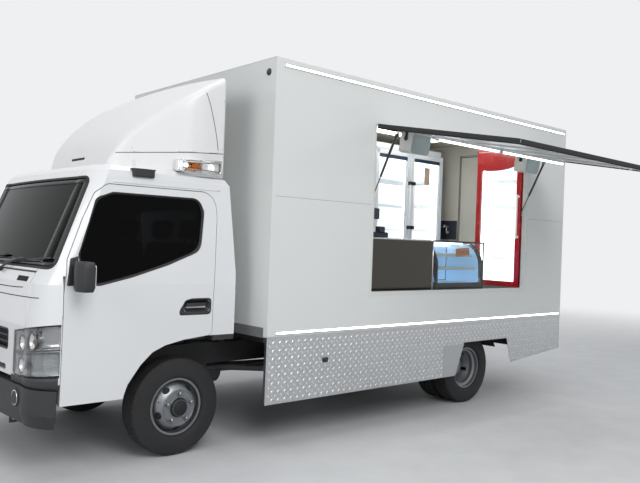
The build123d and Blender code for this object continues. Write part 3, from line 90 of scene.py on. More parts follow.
def lofted(rings, smooth=True, closed=False):
    """Skin over rings: point (i, j) is ring i at step j. The end rings close to their middles, or to each other."""
    rings = np.asarray(rings, float)
    rows, columns = rings.shape[:2]
    points = rings.reshape(-1, 3)
    faces = grid_faces(rows, columns, closed, True)
    if not closed:
        first, last = len(points), len(points) + 1
        points = np.concatenate([points, [rings[0].mean(0), rings[-1].mean(0)]])
        j = np.arange(columns)
        k, base = (j + 1) % columns, (rows - 1) * columns
        faces += np.stack([k, j, np.full(columns, first)], 1).tolist()
        faces += np.stack([base + j, base + k, np.full(columns, last)], 1).tolist()
    return outward(points, faces, smooth)


def shell(outer, inner, smooth=True):
    """Closed plate between two grids of points, joined round their rims."""
    outer, inner = np.asarray(outer, float), np.asarray(inner, float)
    rows, columns = outer.shape[:2]
    count = rows * columns
    faces = grid_faces(rows, columns) + [f[::-1] for f in grid_faces(rows, columns, start=count)]
    number = np.arange(count).reshape(rows, columns)
    rim = np.concatenate([number[0, :-1], number[:-1, -1], number[-1, :0:-1], number[:0:-1, 0]])
    nxt = np.roll(rim, -1)
    faces += np.stack([nxt, rim, rim + count, nxt + count], 1).tolist()
    return outward(np.concatenate([outer.reshape(-1, 3), inner.reshape(-1, 3)]), faces, smooth)


def around(steps):
    """Angles of a whole turn in equal steps."""
    return np.arange(steps) * 2 * math.pi / steps


def upright(a, b, h, axis):
    """Points at (a, b) across an axis and h along it."""
    order = {"x": [2, 0, 1], "y": [0, 2, 1], "z": [0, 1, 2]}[axis]
    return np.stack(np.broadcast_arrays(a, b, h), -1)[..., order]


def round_outline(a0, a1, b0, b1, radius, steps=6):
    """Rectangle with round corners: each corner is its centre plus radius times (cos, sin) of a quarter turn."""
    quarter = np.linspace(0, math.pi / 2, steps)
    low_a, high_a, low_b, high_b = a0 + radius, a1 - radius, b0 + radius, b1 - radius
    middles = (high_a, high_b), (low_a, high_b), (low_a, low_b), (high_a, low_b)
    return np.concatenate([
        np.stack([a + radius * np.cos(quarter + turn), b + radius * np.sin(quarter + turn)], 1)
        for (a, b), turn in zip(middles, np.arange(4) * math.pi / 2)
    ])


def rectangle(a0, a1, b0, b1, radius=0.004):
    return round_outline(a0, a1, b0, b1, radius, 4)


def section(half_a, half_b, radius, steps=3):
    """Profile of a flat bar with round corners."""
    return round_outline(-half_a, half_a, -half_b, half_b, radius, steps)


def filleted(corners, radii, steps=6):
    """Closed outline: each corner becomes a quadratic curve between points set back by its radius."""
    corners = np.asarray(corners, float)
    radii = np.broadcast_to(np.asarray(radii, float), len(corners))
    before, after = np.roll(corners, 1, 0) - corners, np.roll(corners, -1, 0) - corners
    length_before, length_after = (np.linalg.norm(v, axis=1, keepdims=True) for v in (before, after))
    back = np.minimum(radii[:, None], 0.48 * np.minimum(length_before, length_after))
    start = corners + before / length_before * back
    end = corners + after / length_after * back
    t = np.linspace(0, 1, steps)[None, :, None]
    curve = start[:, None] * (1 - t) ** 2 + corners[:, None] * 2 * t * (1 - t) + end[:, None] * t ** 2
    return curve.reshape(-1, 2)


def drawn_in(outline, distance):
    """Closed outline moved inwards along its own normals by distance."""
    turn = np.roll(outline, -1, 0)
    forward = turn - np.roll(outline, 1, 0)
    normal = np.stack([forward[:, 1], -forward[:, 0]], 1)
    normal /= np.linalg.norm(normal, axis=1, keepdims=True) + 1e-12
    area = np.sum(outline[:, 0] * turn[:, 1] - turn[:, 0] * outline[:, 1])
    return outline - normal * distance * (1 if area > 0 else -1)


def dense(outline, step=0.02):
    """Closed outline with points no further apart than step."""
    parts = []
    for a, b in zip(outline, np.roll(outline, -1, 0)):
        n = max(1, int(np.ceil(np.linalg.norm(b - a) / step)))
        parts.append(a + (b - a) * (np.arange(n) / n)[:, None])
    return np.concatenate(parts)


def evenly(outline, count):
    """Closed outline as count points at equal distances along it."""
    loop = np.vstack([outline, outline[:1]])
    run = np.concatenate([[0], np.cumsum(np.linalg.norm(np.diff(loop, axis=0), axis=1))])
    at = np.linspace(0, run[-1], count, endpoint=False)
    return np.stack([np.interp(at, run, loop[:, k]) for k in (0, 1)], 1)


def slab(outline, axis, low, high, edge=0.002, smooth=False):
    """Outline carried along an axis from low to high, its rims drawn in by edge over a quarter turn."""
    t = np.linspace(0, math.pi / 2, 4)
    inward, rise = edge * (1 - np.sin(t)), edge * (1 - np.cos(t))
    steps = zip([*inward, *inward[::-1]], [*(low + rise), *(high - rise[::-1])])
    return lofted([upright(*drawn_in(outline, i).T, h, axis) for i, h in steps], smooth)


def plate(a0, a1, b0, b1, radius, axis, low, high, edge=0.002, smooth=False):
    """Slab of a rectangle with round corners."""
    return slab(round_outline(a0, a1, b0, b1, radius), axis, low, high, edge, smooth)


def brick(x0, x1, y0, y1, z0, z1, edge=0.003, axis="z"):
    """Block with softened rims: a slab of a rectangle with small round corners."""
    spans = {"x": (x0, x1), "y": (y0, y1), "z": (z0, z1)}
    along = spans.pop(axis)
    a, b = spans.values()
    return slab(round_outline(*a, *b, edge, 3), axis, *along, edge)


def bricks(*rows):
    return [brick(*row) for row in rows]


def rim_frame(outline, width, axis, low, high, edge=0.003):
    """Flat frame along a closed outline: a section of eight points between its outer edge and one drawn in by width."""
    steps = (
        (0.0, low + edge), (0.0, high - edge), (edge, high), (width - edge, high),
        (width, high - edge), (width, low + edge), (width - edge, low), (edge, low),
    )
    return lofted(np.stack([upright(*drawn_in(outline, i).T, h, axis) for i, h in steps], 1), False, True)


def banded(loops):
    """Skin between several loops of points in order, closed round their section."""
    return lofted(np.stack(loops, 1), True, True)


def frames_along(path, up=(0, 0, 1)):
    """Side and lift directions at each point: side is tangent cross up, lift is side cross tangent."""
    tangent = np.gradient(np.asarray(path, float), axis=0)
    tangent /= np.linalg.norm(tangent, axis=1, keepdims=True)
    side = np.cross(tangent, np.asarray(up, float))
    side /= np.linalg.norm(side, axis=1, keepdims=True) + 1e-12
    return side, np.cross(side, tangent)


def carried(profile, path, up=(0, 0, 1)):
    """Profile (side, lift) carried along a path of points."""
    path = np.asarray(path, float)
    side, lift = frames_along(path, up)
    return lofted(path[:, None] + side[:, None] * profile[None, :, :1] + lift[:, None] * profile[None, :, 1:])


def circle(radius, sides=16):
    """Profile of a round bar: radius times (cos, sin)."""
    return radius * np.stack([np.cos(around(sides)), np.sin(around(sides))], 1)


def bar(start, end, radius, sides=16):
    """Round bar between two points, with a small chamfer at each end."""
    start, end = np.asarray(start, float), np.asarray(end, float)
    span = end - start
    length = np.linalg.norm(span)
    c = min(radius * 0.25, length * 0.2)
    side, lift = frames_along([start, end], (0, 0, 1) if abs(span[2]) < 0.9 * length else (1, 0, 0))
    rings = []
    for along, r in ((0, radius - c), (c, radius), (length - c, radius), (length, radius - c)):
        ring = circle(r, sides)
        rings.append(start + span / length * along + side[0] * ring[:, :1] + lift[0] * ring[:, 1:])
    return lofted(rings)


def turned(profile, centre, axis="y", steps=64, way=1, closed=False, smooth=True):
    """Profile (radius, offset times way) turned round an axis: the ring at angle t is radius times (sin t, cos t)."""
    r, w = np.asarray(profile, float).T[:, :, None]
    t = around(steps)
    return lofted(upright(r * np.sin(t), r * np.cos(t), w * way, axis) + np.asarray(centre, float), smooth, closed)


def points_of(piece):
    co = np.empty(len(piece.data.vertices) * 3)
    piece.data.vertices.foreach_get("co", co)
    return co.reshape(-1, 3)


def joined(name, pieces):
    """One object out of several, by putting their points and faces in one list."""
    points, faces, smooth, count = [], [], [], 0
    for piece in pieces:
        points.append(points_of(piece))
        for p in piece.data.polygons:
            faces.append([v + count for v in p.vertices])
            smooth.append(p.use_smooth)
        count += len(points[-1])
        bpy.data.objects.remove(piece)
    return mesh_piece(name, np.concatenate(points), faces, smooth)


def mirrored(piece, name):
    """The same piece across the centre plane, with its faces turned back to point out."""
    faces = [list(p.vertices)[::-1] for p in piece.data.polygons]
    return mesh_piece(name, points_of(piece) * (1, -1, 1), faces, [p.use_smooth for p in piece.data.polygons])


def place(piece, finish, slot, body="root", instead=()):
    """Give a piece its finish and let it ride on a body, in place of the solids that it stands for."""
    piece.data.materials.append(finishes[finish])
    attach(piece, body)
    if instead:
        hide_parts(*instead)


def put(name, parts, *where):
    """Join one or more parts under a name and place them."""
    place(joined(name, parts if isinstance(parts, list) else [parts]), *where)


# Finishes


def new_finish(name):
    finish = bpy.data.materials.new(name)
    finish.use_nodes = True
    tree = finish.node_tree
    where = tree.nodes.new("ShaderNodeTexCoord").outputs["Object"]
    return finish, tree, tree.nodes["Principled BSDF"], where


def wired(tree, node, **sockets):
    """Set a node's sockets, named with _ for a space: a socket is linked, anything else is its value."""
    for word, value in sockets.items():
        socket = node.inputs[word.replace("_", " ")]
        if isinstance(value, bpy.types.NodeSocket):
            tree.links.new(value, socket)
        else:
            socket.default_value = value
    return node


def new_node(tree, kind, **sockets):
    return wired(tree, tree.nodes.new("ShaderNode" + kind), **sockets)


def reckoned(tree, operation, a, b):
    """Output of a Math node over two sockets."""
    node = tree.nodes.new("ShaderNodeMath")
    node.operation = operation
    tree.links.new(a, node.inputs[0])
    tree.links.new(b, node.inputs[1])
    return node.outputs[0]


def mottle(tree, where, scale, detail=4.0, rough=0.55, stretch=(1, 1, 1)):
    """Noise value over the piece, stretched by a Mapping node."""
    mapping = new_node(tree, "Mapping", Scale=stretch, Vector=where)
    noise = new_node(
        tree, "TexNoise", Scale=scale, Detail=detail, Roughness=rough, Vector=mapping.outputs["Vector"]
    )
    return noise.outputs["Fac"]


def ramp(tree, value, stops):
    """Colour ramp over a value; stops are (place, colour)."""
    node = new_node(tree, "ValToRGB", Fac=value)
    while len(node.color_ramp.elements) < len(stops):
        node.color_ramp.elements.new(0.5)
    for element, (place_at, colour) in zip(node.color_ramp.elements, stops):
        element.position, element.color = place_at, (*colour, 1)
    return node.outputs["Color"]


def spread(tree, value, low, high, out_low, out_high):
    node = new_node(tree, "MapRange", Value=value, From_Min=low, From_Max=high, To_Min=out_low, To_Max=out_high)
    return node.outputs["Result"]


def raised(tree, height, strength, distance):
    return new_node(tree, "Bump", Strength=strength, Distance=distance, Height=height).outputs["Normal"]


def tinted(colour, k):
    return tuple(max(0.0, min(1.0, c * k)) for c in colour)


def mottled(name, tone, stops, gloss, span, skin, relief, **sockets):
    """Finish whose colour, roughness and height follow three noises, each (scale, detail, roughness, stretch): stops
    colour the first, span maps the second, and relief is the strength and distance of the third."""
    finish, tree, shader, where = new_finish(name)
    wired(
        tree, shader, Base_Color=ramp(tree, mottle(tree, where, *tone), stops),
        Roughness=spread(tree, mottle(tree, where, *gloss), *span),
        Normal=raised(tree, mottle(tree, where, *skin), *relief), **sockets,
    )
    return finish


def paint(name, colour, rough=0.28, coat=0.5, dirt=0.06, flake=0.0, peel=0.02):
    """Sprayed panel: faint cloudy tone, orange-peel skin, dust gathered in broad patches."""
    return mottled(
        name, (0.9, 3, 0.4), [(0.3, tinted(colour, 1 - dirt)), (0.7, colour)],
        (5.0, 5, 0.6), (0.3, 0.75, rough * 0.88, rough * 1.18), (260.0, 2), (peel, 0.0004),
        Coat_Weight=coat, Coat_Roughness=0.08, Metallic=flake,
    )


def brushed(name, colour, rough, stretch=(1, 1, 1), metallic=1.0, wear=0.1):
    """Metal with fine drawn lines along one direction and softer smudges."""
    lines = (60.0, 6, 0.55, stretch)
    return mottled(
        name, lines, [(0.2, tinted(colour, 1 - wear)), (0.8, tinted(colour, 1 + wear * 0.5))],
        (2.2, 4, 0.45), (0.3, 0.7, rough * 0.9, rough * 1.15), lines, (0.12, 0.0004), Metallic=metallic,
    )


def moulded(name, colour, rough=0.55, grain=420.0, depth=0.25, metallic=0.0):
    """Moulded plastic or powder coat: pebbled skin and small tone changes."""
    return mottled(
        name, (3.0, 6), [(0.3, tinted(colour, 0.82)), (0.7, tinted(colour, 1.15))],
        (grain, 3), (0.3, 0.7, rough * 0.85, min(1.0, rough * 1.15)), (grain, 3), (depth, 0.0006),
        Metallic=metallic,
    )


def cast(name, colour, rough=0.7, rust=0.15):
    """Cast or forged iron under dirt: coarse skin with brown patches."""
    mixed = tuple(c * (1 - rust) + b * rust for c, b in zip(colour, (0.16, 0.085, 0.045)))
    coarse = (90.0, 6, 0.7)
    return mottled(
        name, (7.0, 8, 0.7), [(0.3, tinted(colour, 0.7)), (0.55, colour), (0.75, mixed)],
        coarse, (0.3, 0.7, rough * 0.85, min(1.0, rough * 1.2)), coarse, (0.4, 0.0015), Metallic=0.35,
    )


def clear(name, colour, rough=0.02, ior=1.45):
    """Glass with a faint haze of dust."""
    finish, tree, shader, where = new_finish(name)
    haze = spread(tree, mottle(tree, where, 6.0, 6), 0.4, 0.8, rough, rough + 0.05)
    wired(tree, shader, Base_Color=(*colour, 1), Transmission_Weight=1.0, IOR=ior, Roughness=haze)
    return finish


def lit(name, colour, strength, body=(0.9, 0.92, 0.95)):
    """Surface that glows, a little stronger in the middle of its cells; lamps use it, and so does painted light on
    parts that are no lamps.
    """
    finish, tree, shader, where = new_finish(name)
    cells = ramp(tree, mottle(tree, where, 55.0, 2), [(0.3, tinted(colour, 0.92)), (0.6, colour)])
    wired(
        tree, shader, Base_Color=(*body, 1), Roughness=0.4, Emission_Color=cells, Emission_Strength=strength
    )
    return finish


def woven(name, colour, scale=150.0):
    """Seat cloth: crossed threads from two wave textures."""
    finish, tree, shader, where = new_finish(name)
    heights = []
    for direction in ("X", "Z"):
        wave = new_node(tree, "TexWave", Scale=scale, Distortion=0.6, Vector=where)
        wave.wave_type, wave.bands_direction = "BANDS", direction
        heights.append(wave.outputs["Fac"])
    both = reckoned(tree, "MULTIPLY", *heights)
    threads = ramp(tree, both, [(0.0, tinted(colour, 0.6)), (1.0, tinted(colour, 1.3))])
    wired(
        tree, shader, Base_Color=threads, Roughness=0.9, Sheen_Weight=0.3, Normal=raised(tree, both, 0.4, 0.001)
    )
    return finish


# stretch of the drawn lines: none, and along the truck
EVEN, LONG = (1, 1, 1), (14, 1, 1)
# each maker's finishes, with its arguments after the name: the colour first, then mostly the roughness
FINISHES = {
    paint: {
        "box_white": ((0.76, 0.78, 0.765), 0.34, 0.25, 0.025),
        "frame_white": ((0.72, 0.74, 0.73), 0.34, 0.25, 0.02),
        "cab_white": ((0.79, 0.80, 0.81), 0.22, 0.8, 0.02, 0.0, 0.006),
        "fairing_white": ((0.79, 0.79, 0.785), 0.36, 0.2, 0.015, 0.0, 0.002),
        "inner_cream": ((0.80, 0.77, 0.70), 0.45, 0.1, 0.05),
        "fridge_red": ((0.62, 0.012, 0.02), 0.25, 0.7, 0.12),
        # silver wheel paint set to mid grey: partly its own colour, partly painted shade under the body
        "wheel_silver": ((0.24, 0.25, 0.265), 0.40, 0.1, 0.2, 0.6),
    },
    moulded: {
        "seam_grey": ((0.34, 0.36, 0.355), 0.6, 300.0, 0.1),
        "chassis_black": ((0.028, 0.028, 0.03), 0.5, 120.0, 0.3),
        "black_plastic": ((0.022, 0.022, 0.024), 0.5, 500.0, 0.25),
        "bumper_grey": ((0.026, 0.027, 0.029), 0.5, 400.0, 0.3),
        "cabin_grey": ((0.10, 0.10, 0.105), 0.6, 350.0, 0.35),
        "floor_mat": ((0.16, 0.165, 0.17), 0.7, 60.0, 0.5),
        "cabinet_black": ((0.03, 0.03, 0.032), 0.35, 500.0, 0.15),
        "tyre": ((0.018, 0.018, 0.019), 0.78, 260.0, 0.5),
        "strut_black": ((0.015, 0.015, 0.016), 0.3, 600.0, 0.1),
        "rubber": ((0.012, 0.012, 0.013), 0.6, 600.0, 0.2),
        "seam_dark": ((0.006, 0.006, 0.007), 0.8, 300.0, 0.1),
        "gloss_black": ((0.006, 0.006, 0.007), 0.12, 300.0, 0.02),
        "lamp_bowl": ((0.06, 0.06, 0.065), 0.28, 300.0, 0.05, 0.6),
        "screen_black": ((0.010, 0.011, 0.013), 0.10, 300.0, 0.01),
        "shelf_white": ((0.80, 0.82, 0.84), 0.35, 400.0, 0.05),
        "orange_card": ((0.80, 0.25, 0.08), 0.6, 200.0, 0.05),
        "panel_dark": ((0.045, 0.055, 0.085), 0.35, 400.0, 0.1),
        "strip_blue": ((0.035, 0.06, 0.105), 0.35, 400.0, 0.1),
        "notice_beige": ((0.72, 0.55, 0.42), 0.8, 200.0, 0.05),
        "till_navy": ((0.016, 0.022, 0.050), 0.4, 400.0, 0.15),
        # grey-teal grille on the white speaker's face: painted shade
        "speaker_mesh": ((0.34, 0.40, 0.40), 0.6, 700.0, 0.3, 0.3),
        "speaker_white": ((0.72, 0.73, 0.71), 0.5, 500.0, 0.2),
    },
    brushed: {
        "tread_aluminium": ((0.62, 0.63, 0.64), 0.34, EVEN, 1.0, 0.2),
        # lighter colour on the raised bars than on their plate: painted highlight
        "tread_crown": ((0.82, 0.83, 0.84), 0.2, EVEN, 1.0, 0.08),
        "tank_aluminium": ((0.48, 0.49, 0.50), 0.4, (12, 1, 1), 1.0, 0.15),
        "plain_aluminium": ((0.52, 0.53, 0.54), 0.42, LONG, 0.9, 0.12),
        "trim_aluminium": ((0.66, 0.67, 0.68), 0.28, LONG, 1.0, 0.08),
        "hatch_aluminium": ((0.66, 0.67, 0.68), 0.32, (10, 1, 1), 0.8, 0.1),
        "hatch_inside": ((0.60, 0.62, 0.62), 0.38, (10, 1, 1), 0.6, 0.05),
        "fridge_silver": ((0.62, 0.63, 0.64), 0.34, (1, 1, 14), 0.7, 0.08),
        "stainless": ((0.55, 0.55, 0.55), 0.26, (1, 1, 18), 1.0, 0.12),
        # guard sheet coloured dark and warm: painted reflection of dark surroundings on stainless steel
        "guard_steel": ((0.075, 0.069, 0.060), 0.15, LONG, 1.0, 0.10),
        "chrome": ((0.75, 0.75, 0.76), 0.08, (1, 1, 8), 1.0, 0.04),
        "lamp_chrome": ((0.40, 0.40, 0.41), 0.16),
        "mirror": ((0.86, 0.87, 0.88), 0.03, EVEN, 1.0, 0.01),
        "reflector": ((0.85, 0.85, 0.86), 0.07, EVEN, 1.0, 0.03),
        # wheel steel set to mid grey: partly its own colour, partly painted shade under the body
        "wheel_steel": ((0.26, 0.27, 0.285), 0.34, EVEN, 0.9, 0.2),
        # light rim edge: painted highlight
        "rim_bright": ((0.42, 0.43, 0.44), 0.25),
    },
    cast: {
        "axle_iron": ((0.05, 0.05, 0.052), 0.65, 0.3),
        "engine_iron": ((0.12, 0.12, 0.125), 0.6, 0.35),
        # near-black hub cap and hand-hole patches: painted shade, partly the hub's own dark iron
        "drum_iron": ((0.018, 0.018, 0.020), 0.6, 0.3),
    },
    clear: {
        "glass": ((0.92, 0.96, 0.95), 0.02, 1.22),
        "cab_glass": ((0.018, 0.022, 0.025), 0.02, 1.16),
        "blue_tint": ((0.62, 0.80, 0.95), 0.03, 1.2),
        "lens": ((0.93, 0.94, 0.94), 0.03),
        "ribbed_lens": ((0.86, 0.90, 0.90), 0.08),
        "amber": ((0.95, 0.42, 0.10), 0.08),
        "red_lens": ((0.75, 0.03, 0.02), 0.10),
    },
    lit: {
        "led": ((1.0, 0.98, 0.90), 6.0),
        "batten": ((0.98, 0.99, 1.0), 4.0),
        "cool_tube": ((0.90, 0.96, 1.0), 5.0),
        "bulb_white": ((1.0, 0.98, 0.94), 0.8),
        # glass fridge frames, post and header glow a little: painted light, they are no lamps
        "fridge_light": ((0.80, 0.88, 0.95), 0.22, (0.62, 0.65, 0.68)),
        # fridge liners and rails glow: painted light from the tubes beside them
        "fridge_inside": ((0.92, 0.96, 1.0), 0.75, (0.86, 0.88, 0.90)),
        # fridge pulls glow a little: painted light, they are no lamps
        "grip_grey": ((0.85, 0.88, 0.90), 0.35, (0.66, 0.67, 0.68)),
        # the cabinet's back glows blue: painted light, it is no lamp
        "cabinet_glow": ((0.30, 0.56, 0.92), 0.55, (0.40, 0.52, 0.66)),
    },
    woven: {"seat_cloth": ((0.07, 0.07, 0.078),)},
}
finishes = {name: make(name, *row) for make, rows in FINISHES.items() for name, row in rows.items()}

# finish of each solid that is seen as the CAD made it
SOLID_FINISHES = {
    "chassis_black": "chassis_frame body_bearers rear_bar cab_floor",
    "axle_iron": "front_axle rear_axle knuckle_left knuckle_right",
    "engine_iron": "driveline",
    "tank_aluminium": "fuel_tank",
    "black_plastic": "mudguards grille mirror_left mirror_right",
    "bumper_grey": "front_bumper",
    "floor_mat": "body_floor",
    "box_white": "body_left_wall body_right_wall body_front_wall body_rear_wall body_roof rear_door",
    "tread_aluminium": "body_skirts",
    "led": "light_strips",
    "stainless": "counter",
    "cabinet_black": "display_cabinet",
    "glass": "display_glass",
    "fridge_silver": "glass_fridge drinks_fridge fridge_door_front fridge_door_rear",
    "fridge_red": "drinks_fridge_door",
    "hatch_aluminium": "hatch_panel",
    "batten": "hatch_lights",
    "speaker_white": "hatch_speakers",
    "strut_black": "strut_tube_front strut_tube_rear strut_rod_front strut_rod_rear",
    "cab_white": "cab_upper cab_front_panel door_left door_right",
    "cab_glass": "windscreen door_glass_left door_glass_right",
    "lens": "cab_lamps",
    "cabin_grey": "dashboard",
    "seat_cloth": "seats",
    "fairing_white": "wind_deflector",
    # rims in silver paint darkened partly with painted shade
    "wheel_silver": "rim_front_left rim_front_right rim_rear_left rim_rear_right",
    "tyre": "tyre_front_left tyre_front_right tyres_rear_left tyres_rear_right",
}
for finish_name, solids in SOLID_FINISHES.items():
    for solid in solids.split():
        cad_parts[solid].data.materials.clear()
        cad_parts[solid].data.materials.append(finishes[finish_name])


def pair(left, finish, slot, body="root", instead=()):
    """Place a piece named as the left one, and its mirror image on the right."""
    right = mirrored(left, left.name.replace("_left", "_right"))
    place(left, finish, slot, body, instead)
    place(right, finish, slot, body)


def both(side, a, b):
    """Span between two half widths on one side, low end first."""
    return sorted((side * a, side * b))


# Wheels


def tyre_skin(centre_y, side, x):
    """Tyre as radius over (turn, across): crowned tread cut by four rings and slanted sipes, bulged walls, round
    beads."""
    top, bead, half_tread, share = 0.3645, 0.2245, 0.078, 0.62
    turns, across = 360, 60
    t, s = around(turns)[:, None], np.linspace(-1, 1, across)
    tread = np.abs(s) < share
    v = np.clip((np.abs(s) - share) / (1 - share), 0, 1)
    bulge = half_tread + 0.024 * np.sin(v * math.pi * 0.62) / 0.93 - 0.02 * np.maximum(v - 0.85, 0)
    width = np.where(tread, s / share * half_tread, np.sign(s) * bulge)
    radius = np.where(tread, top - 0.0035 * (s / share) ** 4, top - 0.004 - (top - 0.004 - bead) * v ** 1.15)
    r, w = radius + 0 * t, width + 0 * t
    rings = sum(np.exp(-((w / 0.0815 - ring * 1.25) / 0.05) ** 2) for ring in (-0.40, -0.13, 0.13, 0.40))
    groove = rings * (np.abs(w) < 0.079)
    sipe = (np.sin(t * 60 + w * 90) > 0.80) & (np.abs(w) > 0.012) & (np.abs(w) < 0.0795) & tread
    r = r - 0.0075 * np.clip(groove, 0, 1) - 0.0045 * sipe * (groove < 0.4)
    rib = (np.abs(v - 0.34) < 0.03) * 0.0012 + (np.abs(v - 0.62) < 0.02) * 0.0010
    block = (np.sin(t * 60) > 0.2) & (v > 0.04) & (v < 0.20)
    w = w + np.sign(s) * (rib + block * 0.0018)
    inner_r = np.array([0.206, 0.225, 0.300, 0.300, 0.225, 0.206]) + 0 * t
    inner_w = np.array([0.066, 0.060, 0.080, -0.080, -0.060, -0.066]) + 0 * t
    r, w = np.concatenate([r, inner_r], 1), np.concatenate([w, inner_w], 1)
    return lofted(upright(x + r * np.sin(t), HUB + r * np.cos(t), centre_y + side * w, "y"), True, True)


def hex_nut(centre, side, size=0.0155, height=0.030):
    """Wheel nut: six-sided rings from its washer to a domed cap."""
    points, corner = 12, 0.12
    t = around(points)
    six = size * (1 + corner * (np.arange(points) % 2 == 0))
    levels = (
        (1.25, 0.0), (1.25, 0.004), (1.0, 0.005), (1.0, height - 0.010), (0.88, height - 0.004), (0.55, height),
    )
    rings = []
    for k, out in levels:
        r = k * (six if k <= 1 else size)
        rings.append(upright(r * np.sin(t), r * np.cos(t), side * out, "y"))
    return lofted(np.array(rings) + centre, False)


def wheel_fittings(centre, side):
    """Five nuts, the lip, step and cone round the open hub, and a valve stem, on the wheel's face."""
    x, y, z = centre
    nut_circle = 0.104
    lip = [(0.078, 0.0), (0.078, 0.004), (0.0745, 0.005), (0.0715, 0.002), (0.0715, -0.004), (0.075, -0.004)]
    step = [(0.129, -0.0015), (0.131, 0.0012), (0.127, 0.0022), (0.123, 0.0004), (0.123, -0.0015)]
    cone = [(0.131, 0.0008), (0.1345, 0.0008), (0.186, -0.0615), (0.188, -0.066), (0.184, -0.068), (0.131, -0.008)]
    valve = np.array([(0.150, -0.050, 0.05), (0.158, -0.020, 0.053), (0.160, 0.002, 0.053)]) * (1, side, 1)
    nuts = [
        hex_nut((x + nut_circle * math.sin(turn), y, z + nut_circle * math.cos(turn)), side) for turn in around(5)
    ]
    rings = [turned(ring, centre, "y", steps, side, True) for ring, steps in ((lip, 64), (step, 72), (cone, 96))]
    return nuts + rings + [carried(circle(0.0042, 10), valve + centre, (1, 0, 0))]


def wheel_hub_and_hole_shades(centre, side):
    """Dark parts of the wheel: the cap over the hub, dark partly for the hub's iron and partly as painted shade in its
    bore, and five dark ovals on the cone, 60 by 32 mm, painted shade over the hand holes.
    """
    cup = [
        (0.0005, 0.029), (0.030, 0.029), (0.034, 0.0262), (0.056, 0.0258), (0.0632, 0.022), (0.0640, 0.003),
        (0.0735, 0.0025), (0.0735, -0.004),
    ]
    parts = [turned(cup, centre, "y", 48, side)]
    hole_circle, half_tall, half_long = 0.160, 0.016, 0.030
    cone_start, cone_slope = 0.1345, 1.2097
    k = around(24)
    for middle in around(5) + math.pi / 5:
        rings = []
        for size, proud in ((1.0, -0.0012), (1.0, 0.0016), (0.85, 0.0022), (0.40, 0.0022)):
            r = hole_circle + half_tall * size * np.sin(k)
            turn = middle + half_long * size * np.cos(k) / hole_circle
            w = 0.0008 - cone_slope * (r - cone_start) + proud * 1.3
            rings.append(upright(r * np.sin(turn), r * np.cos(turn), side * w, "y"))
        parts.append(lofted(np.array(rings) + centre))
    return parts


def wheels():
    """Tyres in place of the plain ones; nuts and rings, the front hubs with their cap and hand holes darkened by
    painted shade, and rim edges painted bright as a highlight.
    """
    edge = [(0.2215, -0.003), (0.2235, 0.0), (0.2215, 0.003), (0.2185, 0.0)]
    for x, word, spots, face in ((FRONT, "front", (0.811,), 0.927), (REAR, "rear", (0.898, 0.668), 0.784)):
        for side, hand in HANDS:
            tail, centre = f"{word}_{hand}", (x, side * face, HUB)
            body = "wheel_" + tail
            plain = f"tyre_front_{hand}" if word == "front" else f"tyres_rear_{hand}"
            skins = [tyre_skin(side * y, side * way, x) for y, way in zip(spots, (1, -1))]
            put("tyre_tread_" + tail, skins, "tyre", "tyre_rubber", body, (plain,))
            # nuts, lip, step and cone in mid grey: partly painted shade
            put("wheel_nuts_" + tail, wheel_fittings(centre, side), "wheel_steel", "wheel_silver", body)
            if word == "front":
                # dark hub cap and patches over the hand holes: painted shade
                put("wheel_hub_" + tail, wheel_hub_and_hole_shades(centre, side), "drum_iron", "axle_iron", body)
            # a lighter ring round the rim's edge: painted highlight
            ring = turned(edge, (x, side * (spots[0] + 0.079), HUB), "y", 96, side, True)
            put("rim_edge_" + tail, ring, "rim_bright", "wheel_silver", body)


# Tread-plate skirts


def lozenges():
    """Raised bars on the skirts: one family slants down rearwards on a square pitch, the other crosses in its gaps."""
    pitch_x, pitch_z, slope = 0.0655, 0.0642, math.radians(48)
    columns, rows = 68, 9
    i, j = np.meshgrid(np.arange(columns), np.arange(rows), indexing="ij")
    spots = np.concatenate([
        np.stack([-0.645 - pitch_x * (i + shift), 0.8020 - pitch_z * (j - shift), 0 * i + way], -1)
        for shift, way in ((0.0, 1.0), (0.5, -1.0))
    ]).reshape(-1, 3)
    x, z, way = spots.T
    # inside the skirt's edges, and clear of the lock, the splash sheet, the wheel arch and the rising rear edge
    keep = (x > -4.935) & (z < 0.862) & (z > 0.366) & ((x + 1.23) ** 2 + (z - 0.657) ** 2 > 0.03 ** 2)
    keep &= ~((x < -2.79) & (x > -3.14) & (z < 0.672))
    keep &= ~((x < -3.10) & (x > -3.90) & (z < 0.700))
    keep &= ~((x < -3.87) & (z < 0.425 + (-3.95 - x) * 0.09))
    x, z, way = spots[keep].T[:, :, None, None]
    count, sides = len(x), 10
    t = around(sides)
    size, rise = np.array([1.0, 0.78, 0.38])[:, None], np.array([0.0, 0.0012, 0.0019])[:, None]
    along = 0.0175 * np.cos(t) * size
    across = 0.0062 * np.sin(t) * (1 - 0.35 * np.cos(t) ** 2) * size
    cos, sin = math.cos(slope), way * math.sin(slope)
    bars = upright(FRONT + x + along * cos - across * sin, z + along * sin + across * cos, SIDE + rise, "y")
    crowns = upright(FRONT + x, z, SIDE + 0.0021, "y")
    points = np.concatenate([bars.reshape(count, -1, 3), crowns.reshape(count, 1, 3)], 1)
    k = np.arange(sides)
    top, crown = 2 * sides, 3 * sides
    quads = np.array(grid_faces(3, sides, wrap_columns=True))[:, ::-1]
    tips = np.stack([np.full(sides, crown), top + (k + 1) % sides, top + k], 1)
    first = (np.arange(count) * (crown + 1))[:, None, None]
    faces = (quads + first).reshape(-1, 4).tolist() + (tips + first).reshape(-1, 3).tolist()
    # raised bars coloured lighter than the plate: painted highlight
    pair(mesh_piece("tread_bars_left", points, faces), "tread_crown", "tread_plate")


